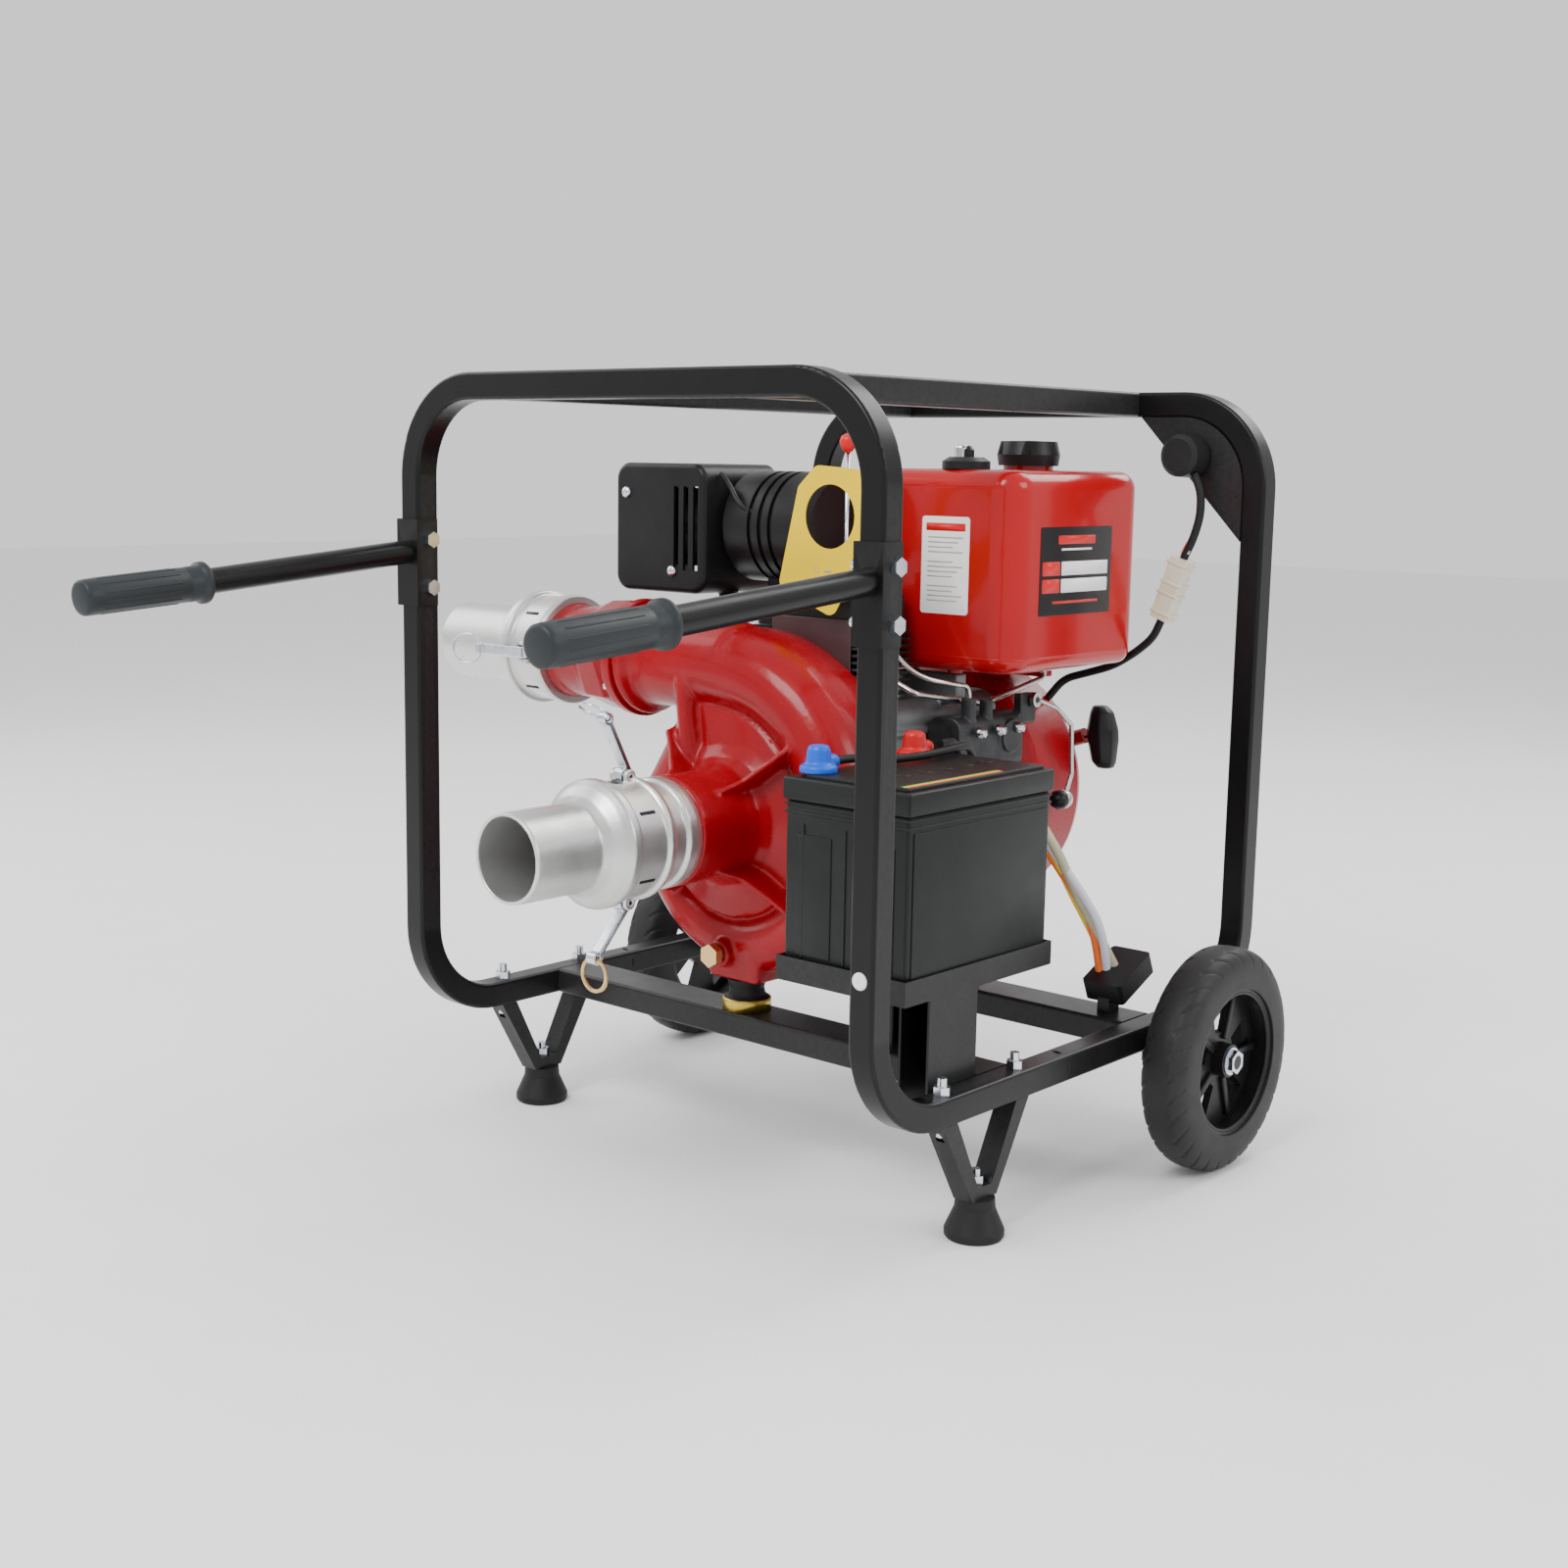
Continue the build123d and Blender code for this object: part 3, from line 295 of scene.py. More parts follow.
# ---- finishes ----
def finish(name, colour, roughness, metallic=0.0, variation=0.06, tone_scale=9.0,
           grain_scale=900.0, grain=0.06, wave_scale=60.0, wave=0.0, worn=None, worn_amount=0.0,
           coat=0.0, alpha=1.0, spread=0.08, dust=0.0, specular=0.5):
    """A finish with uneven tone, uneven gloss, surface grain and worn edges."""
    known = bpy.data.materials.get(name)
    if known:
        return known
    material = bpy.data.materials.new(name)
    material.use_nodes = True
    nodes = material.node_tree.nodes
    link = material.node_tree.links.new
    shader = nodes["Principled BSDF"]

    def settings(node, values):
        for name, value in values.items():
            node.inputs[name].default_value = value
        return node

    def add(kind, values):
        return settings(nodes.new("ShaderNode" + kind), values)

    settings(shader, {"Metallic": metallic, "Specular IOR Level": specular, "Coat Weight": coat,
                      "Coat Roughness": 0.06, "Transmission Weight": 1 - alpha})
    place = nodes.new("ShaderNodeTexCoord")

    def noise(scale, detail, rough=0.55):
        node = add("TexNoise", {"Scale": scale, "Detail": detail, "Roughness": rough})
        link(place.outputs["Object"], node.inputs["Vector"])
        return node.outputs["Fac"]

    def laid_over(shade, colour, amount):
        blend = nodes.new("ShaderNodeMix")
        blend.data_type = "RGBA"
        settings(blend, {"B": (*colour, 1)})
        link(amount, blend.inputs["Factor"])
        link(shade, blend.inputs["A"])
        return blend.outputs["Result"]

    tone = nodes.new("ShaderNodeValToRGB")
    tone.color_ramp.elements[0].position = 0.3
    tone.color_ramp.elements[1].position = 0.7
    for element, share in zip(tone.color_ramp.elements, (1 - variation, 1 + variation)):
        element.color = (*(min(c * share, 1) for c in colour), 1)
    link(noise(tone_scale, 4), tone.inputs["Fac"])
    shade = tone.outputs["Color"]

    if dust:
        settled = add("MapRange", {"From Min": 0.45, "From Max": 0.8, "To Max": dust})
        link(noise(22, 6, 0.65), settled.inputs["Value"])
        shade = laid_over(shade, (0.32, 0.30, 0.27), settled.outputs["Result"])

    if worn:
        edge = add("MapRange", {"From Min": 0.53, "From Max": 0.62, "To Max": worn_amount})
        link(nodes.new("ShaderNodeNewGeometry").outputs["Pointiness"], edge.inputs["Value"])
        patchy = nodes.new("ShaderNodeMath")
        patchy.operation = "MULTIPLY"
        link(edge.outputs["Result"], patchy.inputs[0])
        link(noise(150, 5, 0.7), patchy.inputs[1])
        shade = laid_over(shade, worn, patchy.outputs["Value"])
    link(shade, shader.inputs["Base Color"])

    gloss = add("MapRange", {"To Min": max(roughness - spread, 0.03), "To Max": roughness + spread})
    link(noise(35, 5, 0.6), gloss.inputs["Value"])
    link(gloss.outputs["Result"], shader.inputs["Roughness"])

    fine = add("Bump", {"Strength": grain, "Distance": 0.0004})
    link(noise(grain_scale, 3), fine.inputs["Height"])
    if wave:
        broad = add("Bump", {"Strength": wave, "Distance": 0.0012})
        link(noise(wave_scale, 2), broad.inputs["Height"])
        link(broad.outputs["Normal"], fine.inputs["Normal"])
    link(fine.outputs["Normal"], shader.inputs["Normal"])
    return material


def finishes(looks):
    """Every finish on the pump, keyed by the name of its material slot or use."""
    soot = (0.008, 0.008, 0.009)
    return {
        "black_powder_coat": finish(
            "black powder coat", looks.frame_black, 0.30, grain=0.05, grain_scale=1400, wave=0.03,
            wave_scale=420, specular=0.22, worn=(0.05, 0.05, 0.052), worn_amount=0.6),
        "pump_red": finish(
            "red cast paint", looks.pump_red, 0.26, variation=0.12, grain=0.10, grain_scale=650,
            wave=0.30, wave_scale=85, coat=0.12, specular=0.22, worn=(0.42, 0.02, 0.03),
            worn_amount=0.5),
        "tank_red": finish(
            "red enamel", looks.tank_red, 0.20, variation=0.05, grain=0.03, wave=0.10, wave_scale=18,
            coat=0.25, specular=0.25),
        "cast_aluminium": finish(
            "cast aluminium", looks.aluminium, 0.34, metallic=0.85, variation=0.10, grain=0.30,
            grain_scale=800, wave=0.15, wave_scale=120, worn=(0.90, 0.90, 0.89), worn_amount=0.6),
        "engine_grey": finish(
            "die-cast grey", looks.engine_grey, 0.42, metallic=0.7, variation=0.10, tone_scale=60,
            grain=0.35, grain_scale=700, dust=0.03),
        "engine_dark": finish(
            "oiled casting", (0.035, 0.036, 0.038), 0.36, metallic=0.4, variation=0.35, tone_scale=45,
            grain=0.35, grain_scale=700, specular=0.3, worn=(0.4, 0.4, 0.4), worn_amount=0.5),
        "heat_black": finish(
            "heat-proof black", soot, 0.38, variation=0.25, grain=0.30, grain_scale=900, dust=0.015,
            specular=0.22, worn=(0.10, 0.10, 0.10), worn_amount=0.4),
        "zinc_steel": finish(
            "bright zinc", (0.66, 0.70, 0.75), 0.22, metallic=1.0, variation=0.18, tone_scale=60,
            grain=0.12),
        "machined_steel": finish(
            "machined steel", (0.56, 0.56, 0.55), 0.26, metallic=1.0, variation=0.12, grain=0.10,
            grain_scale=1600),
        "cast_iron": finish("cast iron", (0.16, 0.16, 0.17), 0.55, metallic=0.8, grain=0.4),
        "brass": finish("brass", (0.55, 0.33, 0.11), 0.28, metallic=1.0, variation=0.2, tone_scale=80),
        "yellow_zinc": finish(
            "yellow zinc", (0.58, 0.42, 0.07), 0.30, metallic=0.9, variation=0.3, tone_scale=50),
        "black_rubber": finish(
            "black rubber", (0.009, 0.009, 0.010), 0.55, variation=0.2, grain=0.25, dust=0.015,
            specular=0.25),
        "grip_rubber": finish(
            "grip rubber", (0.017, 0.021, 0.023), 0.46, variation=0.12, grain=0.25, grain_scale=1100,
            dust=0.015, specular=0.25),
        "tyre_rubber": finish(
            "tyre rubber", (0.012, 0.012, 0.013), 0.52, variation=0.2, grain=0.30, grain_scale=700,
            dust=0.03, specular=0.28),
        "black_plastic": finish(
            "black plastic", (0.008, 0.008, 0.009), 0.36, variation=0.15, grain=0.20,
            grain_scale=1300, dust=0.01, specular=0.25),
        "battery_black": finish(
            "battery case", (0.009, 0.011, 0.010), 0.40, variation=0.12, grain=0.22, grain_scale=1200,
            dust=0.012, specular=0.22),
        "cap_blue": finish("blue cap", (0.004, 0.09, 0.60), 0.34, variation=0.1, specular=0.3),
        "cap_red": finish("red cap", (0.60, 0.006, 0.008), 0.34, variation=0.1, specular=0.3),
        "tag_yellow": finish("yellow card", (0.82, 0.56, 0.002), 0.45, variation=0.05, specular=0.12),
        "label_card": finish("white label", (0.86, 0.85, 0.85), 0.30, variation=0.03),
        "label_black": finish("black label", (0.008, 0.007, 0.007), 0.34, specular=0.25),
        "label_ink": finish("grey print", (0.36, 0.36, 0.38), 0.45),
        "cable_black": finish("cable sleeve", (0.008, 0.008, 0.009), 0.48, grain=0.5, specular=0.25),
        "connector_clear": finish(
            "translucent nylon", (0.80, 0.74, 0.58), 0.28, alpha=0.75, variation=0.08),
        "side_plate": finish(
            "brown plate", (0.050, 0.020, 0.022), 0.32, variation=0.25, wave=0.1, specular=0.35),
        "wire_orange": finish("orange wire", (0.85, 0.15, 0.015), 0.42, specular=0.3),
        "wire_white": finish("white wire", (0.62, 0.61, 0.70), 0.40),
        "wire_yellow": finish("yellow wire", (0.86, 0.58, 0.015), 0.40, specular=0.3),
        "wire_beige": finish("beige wire", (0.42, 0.39, 0.27), 0.45, specular=0.3),
        "wire_green": finish("green strip", (0.04, 0.32, 0.06), 0.40, specular=0.3),
    }


# ---- settings ----
def paint(name, description, default):
    return FloatVectorProperty(name=name, description=description, subtype="COLOR", size=3,
                               min=0, max=1, default=default)


class PUMP_PG_looks(bpy.types.PropertyGroup):
    """Colours and small sizes of the pump's finish."""
    frame_black: paint("Frame black", "Powder coat of the tube frame", (0.0045, 0.0045, 0.005))
    pump_red: paint("Pump red", "Paint of the casting and the shroud", (0.30, 0.0015, 0.007))
    tank_red: paint("Tank red", "Enamel of the fuel tank", (0.39, 0.002, 0.005))
    aluminium: paint("Aluminium", "Bare castings of the couplings", (0.66, 0.66, 0.65))
    engine_grey: paint("Engine grey", "Die-cast engine parts", (0.20, 0.205, 0.21))
    tread_blocks: IntProperty(
        name="Tread grooves", description="Slanted grooves round each tyre's shoulder",
        default=30, min=8, max=60)
    tread_depth: FloatProperty(
        name="Tread depth", description="Depth of the tyre's grooves", subtype="DISTANCE",
        unit="LENGTH", default=0.0017, min=0.0005, max=0.006)
    rib_thickness: FloatProperty(
        name="Casting rib", description="Thickness of the ribs on the pump casing",
        subtype="DISTANCE", unit="LENGTH", default=0.007, min=0.002, max=0.015)


class PUMP_PG_stage(bpy.types.PropertyGroup):
    """Where the camera stands and which way it looks."""
    camera_place: FloatVectorProperty(
        name="Camera", description="Where the camera stands", subtype="TRANSLATION",
        unit="LENGTH", size=3, default=(1.5624, -1.6450, 0.8001))
    camera_yaw: FloatProperty(
        name="Yaw", description="Turn of the camera to the left", subtype="ANGLE",
        default=math.radians(40.94))
    camera_pitch: FloatProperty(
        name="Pitch", description="Tilt of the camera downwards", subtype="ANGLE",
        default=math.radians(9.01))
    camera_roll: FloatProperty(
        name="Roll", description="Roll of the camera", subtype="ANGLE",
        default=math.radians(0.97))
    lens: FloatProperty(
        name="Lens", description="Focal length on a 36 mm sensor, in millimetres",
        default=46.8, min=20, max=120)


# ---- operators: one for each piece or group of like pieces ----
class PUMP_OT_frame_finishes(bpy.types.Operator):
    """Give every carried-over part its finish"""
    bl_idname = "pump.frame_finishes"
    bl_label = "Finish the carried-over parts"

    def execute(self, context):
        kit = finishes(context.scene.pump_looks)
        for entry in frame["record"]["subparts"]:
            node = frame["nodes"][entry["node"]]
            if not node.material_slots:
                node.data.materials.append(None)
            for holder in node.material_slots:
                holder.material = kit[entry["material_slot"]]
        return {"FINISHED"}


class PUMP_OT_casing(bpy.types.Operator):
    """Model the snail-shaped pump casing"""
    bl_idname = "pump.casing"
    bl_label = "Pump casing"

    def outline(self, low):
        """Snail outline about the shaft, as (x, z) in millimetres from the shaft."""
        bottom = (low.z - PUMP_CENTRE.z) / MM + 10
        reach = -bottom
        small = reach - 12
        large = reach + 36
        points = []
        steps = 34
        for first, radius, x, z, last in (
            (180, small, 0, bottom + small, 0), (270, reach, 0, 0, 0), (0, large, reach - large, 0, 1),
        ):
            for i in range(steps + last):
                angle = math.radians(first + 90 * i / steps)
                points.append((x + radius * math.cos(angle), z + radius * math.sin(angle)))
        for share in (0.3, 0.6, 0.95):
            points.append((-36 - 59 * share, large))
        for share in (0.25, 0.5, 0.75, 1):
            points.append((-95, large - 98 * share))
        for share in (0.2, 0.4, 0.6, 0.8):
            points.append((-95 - (small - 95) * share, large - 98 - (large - 98) * share))
        return points

    def execute(self, context):
        looks = context.scene.pump_looks
        kit = finishes(looks)
        low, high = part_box("volute_casing")
        mid_y = (JOINTS["discharge_front_cam_turn"]["pos_m"][1]
                 + JOINTS["discharge_rear_cam_turn"]["pos_m"][1]) / 2
        discharge_z = JOINTS["discharge_front_cam_turn"]["pos_m"][2]
        outline = self.outline(low)
        count = len(outline)
        points = []
        back = (high.y - PUMP_CENTRE.y) / MM
        neck = (low.y - PUMP_CENTRE.y) / MM
        centre = (mid_y - PUMP_CENTRE.y) / MM
        for number, (x, z) in enumerate(outline):
            reach = math.hypot(x, z)
            out = Vector((x / reach, 0, z / reach))
            grown = min(number / 100, 1)
            thick = 27 + 22 * grown
            bulge = 33 + 20 * grown
            section = [(46, neck), (61, neck), (62, neck + 3), (62, centre - 78), (65, centre - 62),
                       (74, centre - 50), (88, centre - 42), (reach - 2 * thick + 4, centre - 34)]
            for step in range(13):
                angle = math.radians(152 - 152 * step / 12)
                section.append((reach - thick + thick * math.cos(angle),
                                centre - bulge * math.sin(angle) ** 0.9 if angle > 0 else centre))
            section += [(reach, centre + 26), (reach - 5, back - 5), (reach - 14, back),
                        (30, back), (26, back - 6), (110, back - 14), (110, centre - 24),
                        (56, centre - 40), (46, centre - 60)]
            for radius, distance in section:
                points.append(PUMP_CENTRE + (out * radius + Vector((0, distance, 0))) * MM)
        columns = len(points) // count
        snail = new_mesh("snail", points, grid_faces(count, columns, True, True))
        parts = [snail]
        neck_start = Vector((low.x, mid_y, discharge_z))
        parts.append(lathe("neck", neck_start, (1, 0, 0), [
            (0, 38), (0, 66), (11, 66), (14, 62), (18, 56), (34, 54), (150, 52), (150, 30),
            (84, 30), (80, 38),
        ]))
        for turn in (45, 135, 225, 315):
            out = spoke(math.radians(turn))
            origin = PUMP_CENTRE - out.cross(Vector((0, 1, 0))) * looks.rib_thickness / 2
            parts.append(plate("rib", [
                (56, centre - 116), (63, centre - 112), (78, centre - 84), (108, centre - 64),
                (134, centre - 50), (138, centre - 20), (56, centre - 20),
            ], origin, out, (0, 1, 0), looks.rib_thickness / MM, 1.5))
        parts.append(slab("foot", Vector((PUMP_CENTRE.x, mid_y - 0.005, low.z + 0.022)),
                          (78, 60, 44), 6))
        boss = middle("drain_plug")
        parts.append(lathe("boss", Vector((boss.x, low.y + 0.098, boss.z)), (0, 1, 0), [
            (0, 8.4), (0, 14), (2, 16), (26, 19), (26, 8.4),
        ], 48))
        casing = cast(joined("pump_casing", parts), 2.4, 5)
        done(casing, kit, "pump_red", ["volute_casing"])
        stud_circle = 0.128
        bolts = []
        for turn in (18, 62, 108, 152, 206, 248, 292, 338):
            place = PUMP_CENTRE + spoke(math.radians(turn)) * stud_circle
            place.y = high.y - 0.004
            bolts.append(lathe("bolt", place, (0, 1, 0), [(0, 0), (0, 6), (11, 6), (12, 4), (12, 0)], 24))
        done(joined("casing_studs", bolts), kit, "zinc_steel")
        return {"FINISHED"}


class PUMP_OT_couplings(bpy.types.Operator):
    """Skin the lever couplings and their adaptors as castings"""
    bl_idname = "pump.couplings"
    bl_label = "Couplings"

    def execute(self, context):
        kit = finishes(context.scene.pump_looks)
        for node in ("suction_coupler", "discharge_coupler", "suction_adaptor"):
            piece = cast_from(node, node + "_casting", 1.5)
            done(piece, kit, "cast_aluminium", [node])
        along_y, along_x = Vector((0, 1, 0)), Vector((1, 0, 0))
        body_radius, slot_back = 0.0641, 0.032
        centre = Vector((PUMP_CENTRE.x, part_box("suction_coupler")[1].y - slot_back, PUMP_CENTRE.z))
        # Thin black slabs on the suction coupler's body: painted shade that stands in for the dark openings
        # of the lever slots, which are not cut.
        marks = []
        for degrees in (35, 145, 215, 325):
            out = spoke(math.radians(degrees))
            marks.append(slab("slot", centre + out * body_radius, (1.4, 22, 4), 0.6,
                              turned_to(out, along_y)))
        done(joined("suction_slot_painted_shade", marks), kit, "black_plastic")
        centre = middle("discharge_coupler")
        centre.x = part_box("discharge_coupler")[1].x - slot_back
        # Thin black slabs on the discharge coupler's body: painted shade that stands in for the dark
        # openings of the lever slots, which are not cut.
        marks = []
        for degrees in (45, 135, 225, 315):
            out = spoke(math.radians(degrees), "X")
            marks.append(slab("slot", centre + out * body_radius, (22, 1.4, 4), 0.6,
                              turned_to(along_x, out)))
        done(joined("discharge_slot_painted_shade", marks), kit, "black_plastic")
        low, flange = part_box("discharge_adaptor")
        reach = (flange.x - low.x) / MM
        start = Vector((flange.x, centre.y, centre.z))
        body = lathe("tube", start, (-1, 0, 0), [
            (0, 46), (0, 70), (12, 70), (14, 68), (16, 58), (reach - 62, 55), (reach - 52, 58),
            (reach - 50, 57), (reach - 50, 52), (reach, 52), (reach, 46),
        ])
        facets = lathe("facets", start, (-1, 0, 0), [
            (13, 50), (13, 62), (30, 67), (62, 65), (84, 57), (84, 50),
        ], 8)
        adaptor = cast(joined("discharge_adaptor_casting", [body, facets]), 1.3, 2)
        done(adaptor, kit, "pump_red", ["discharge_adaptor"])
        bolts = []
        bolt_circle = 0.0635
        for step in range(6):
            place = start - mm(14, 0, 0) + spoke(math.tau * (step + 0.5) / 6, "X") * bolt_circle
            bolts.append(lathe("bolt", place, (-1, 0, 0), [(0, 0), (0, 5), (5, 5), (6, 4), (6, 0)], 6))
        done(joined("discharge_flange_bolts", bolts), kit, "zinc_steel")
        return {"FINISHED"}


LEVERS = {
    "suction_top_lever": "suction_top_cam",
    "suction_bottom_lever": "suction_bottom_cam",
    "discharge_front_lever": "discharge_front_cam",
    "discharge_rear_lever": "discharge_rear_cam",
}


class PUMP_OT_cam_levers(bpy.types.Operator):
    """Skin the cam levers and add the lower split ring"""
    bl_idname = "pump.cam_levers"
    bl_label = "Cam levers"

    def execute(self, context):
        kit = finishes(context.scene.pump_looks)
        for node, body in LEVERS.items():
            piece = cast_from(node, node + "_casting", 0.8, 2)
            done(piece, kit, "zinc_steel", [node], body)
        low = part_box("suction_bottom_lever")[0]
        centre = Vector((PUMP_CENTRE.x, low.y + 0.007, low.z + 0.0196))
        loops = [
            ring("loop", centre, (0, 1, 0), 18, 2.0),
            ring("loop", centre + mm(0, 1.2, -0.8), (0, 1, 0.12), 18, 1.3),
        ]
        done(joined("suction_bottom_split_ring", loops), kit, "brass", body="suction_bottom_cam")
        return {"FINISHED"}


class PUMP_OT_wheels(bpy.types.Operator):
    """Model treaded tyres and the rims' spoke ribs"""
    bl_idname = "pump.wheels"
    bl_label = "Wheels"

    def tyre(self, name, node, looks):
        low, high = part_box(node)
        centre = (low + high) / 2
        radius = (high.z - low.z) / 2 / MM
        half = (high.x - low.x) / 2 / MM
        bead = 84.4
        section = []
        for step in range(49):
            angle = math.radians(-8 + 196 * step / 48)
            u = math.cos(angle)
            v = math.sin(angle)
            width = half * math.copysign(abs(u) ** 0.62, u)
            section.append((width, bead + (radius - bead) * max(v, 0) ** 0.5))
        section += [(-half * 0.6, bead), (half * 0.6, bead)]
        turns = 720
        points = []
        for i in range(turns):
            angle = math.tau * i / turns
            out = spoke(angle, "X")
            for x, r in section:
                share = abs(x) / half
                depth = max(0, 1 - abs(share - 0.34) / 0.05) * 0.7
                if r > radius - 22 and 0.44 < share < 0.93:
                    lean = share * 1.3 * math.copysign(1, x)
                    phase = (angle / math.tau * looks.tread_blocks + lean) % 1
                    depth = max(depth, 1 - abs(phase - 0.5) / 0.13)
                depth = min(depth * 1.6, 1) * looks.tread_depth
                points.append(Vector((centre.x + x * MM, centre.y, centre.z)) + out * (r * MM - depth))
        return new_mesh(name, points, grid_faces(turns, len(section), True, True))

    def execute(self, context):
        looks = context.scene.pump_looks
        kit = finishes(looks)
        for side, body in (("left", "left_wheel"), ("right", "right_wheel")):
            tyre = self.tyre(f"{side}_treaded_tyre", f"{side}_tyre", looks)
            done(tyre, kit, "tyre_rubber", [f"{side}_tyre"], body)
            centre = middle(f"{side}_rim")
            outward = 1 if side == "right" else -1
            spokes = []
            for step in range(5):
                out = spoke(math.tau * step / 5, "X")
                place = centre + out * 0.049 + mm(outward * 7, 0, 0)
                turn = turned_to(Vector((1, 0, 0)), out)
                spokes.append(slab("spoke", place, (7, 52, 9), 2, turn))
            spokes.append(ring("lip", centre + mm(outward * 24, 0, 0), (1, 0, 0), 80, 2.6))
            done(joined(f"{side}_spoke_ribs", spokes), kit, "black_plastic", body=body)
        return {"FINISHED"}


class PUMP_OT_handles(bpy.types.Operator):
    """Model the moulded handle grips"""
    bl_idname = "pump.handles"
    bl_label = "Handle grips"

    def execute(self, context):
        kit = finishes(context.scene.pump_looks)
        low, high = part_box("handle_grips")
        grips = []
        for x in (low.x + 0.022, high.x - 0.022):
            tip = Vector((x, low.y + 0.0022, low.z + 0.0205))
            root = Vector((x, high.y - 0.001, high.z - 0.0222))
            length = (root - tip).length / MM
            profile = [(0, 0), (0, 14), (1.2, 17), (3, 18.2), (8, 18.5)]
            profile += [(length - 26, 18.3), (length - 24, 17.6), (length - 22, 18.4),
                        (length - 12, 18.5), (length - 8, 19.5), (length - 6, 22), (length - 1, 22),
                        (length, 21), (length, 13.6), (8, 13.6), (8, 0)]
            grips.append(lathe("grip", tip, root - tip, profile, 64, False))
            along, side_way, up = axes_for(root - tip)
            for ridge in range(12):
                angle = math.tau * ridge / 12
                out = side_way * math.cos(angle) + up * math.sin(angle)
                place = tip.lerp(root, 0.44) + out * 0.0181
                turn = turned_to(along, out.cross(along))
                grips.append(slab("ridge", place, (length * 0.62, 2.2, 1.6), 0.5, turn))
        done(joined("moulded_grips", grips), kit, "grip_rubber", ["handle_grips"])
        return {"FINISHED"}


class PUMP_OT_battery(bpy.types.Operator):
    """Model the battery case, lid and terminal caps"""
    bl_idname = "pump.battery"
    bl_label = "Battery"

    def execute(self, context):
        kit = finishes(context.scene.pump_looks)
        low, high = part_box("battery_case")
        size = (high - low) / MM
        centre = (low + high) / 2
        parts = [slab("case", centre, (size.x - 3, size.y - 3, size.z), 4)]
        for share, proud, drop, wide, short in (
            (0.16, 1, 8, 3, 30), (0.5, 1, 8, 3, 30), (0.84, 1, 8, 3, 30),
            (0.25, 1.2, 12, 46, 44), (0.75, 1.2, 12, 46, 44),
        ):
            place = at("battery_case", (share, 0, 0.5), (0, proud, -drop))
            parts.append(slab("rib", place, (wide, 2, size.z - short), 0.9))
        place = Vector((high.x - 0.001, centre.y, centre.z - 0.006))
        parts.append(slab("panel", place, (2, size.y - 18, size.z - 22), 0.9))
        for height in (high.z - 0.004, high.z - 0.012):
            parts.append(slab("band", Vector((centre.x, centre.y, height)),
                              (size.x - 0.4, size.y - 0.4, 3), 1.2))
        done(joined("moulded_case", parts), kit, "battery_black", ["battery_case"])
        low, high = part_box("battery_lid")
        size = (high - low) / MM
        centre = (low + high) / 2
        parts = [slab("lid", centre - mm(0, 0, 2), (size.x, size.y, size.z - 4), 3)]
        parts.append(slab("top", centre + mm(8, 0, size.z / 2 - 3), (size.x - 34, size.y - 16, 6), 2))
        for step in range(6):
            place = Vector((centre.x + 0.018, low.y + 0.035 + step * 0.036, high.z - 0.001))
            parts.append(lathe("vent", place, (0, 0, 1), [(0, 0), (0, 9), (1.6, 9), (2.2, 8), (2.2, 0)], 32))
        done(joined("moulded_lid", parts), kit, "battery_black", ["battery_lid"])
        for number, key in enumerate(("wire_orange", "wire_yellow", "wire_green")):
            reach = size.y * 0.64
            place = Vector((high.x - 0.013 - number * 0.003, low.y, high.z + 0.0003))
            strip = slab(f"lid_stripe_{number + 1}", place + mm(0, reach / 2 + 10, 0),
                         (2.8, reach, 0.8), 0.3)
            done(strip, kit, "label_card", look=key)
        low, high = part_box("terminal_caps")
        x = low.x + 0.020
        for number, (y, key) in enumerate(((low.y + 0.020, "cap_blue"), (high.y - 0.047, "cap_red"))):
            origin = Vector((x, y, low.z))
            parts = [lathe("skirt", origin, (0, 0, 1), [
                (0, 0), (0, 20), (5, 20), (7, 19), (9, 15), (11, 13.5), (24, 12), (27.5, 10),
                (28.6, 6), (28.6, 0),
            ], 48)]
            parts.append(lathe("sleeve", origin + mm(0, 4, 9), (0, 1, 0), [
                (0, 0), (0, 8.5), (18, 8.4), (22, 7), (23, 7), (23, 0)], 40))
            cap = cast(joined(f"terminal_cap_{number + 1}", parts), 0.8, 4)
            done(cap, kit, key, ["terminal_caps"])
        return {"FINISHED"}


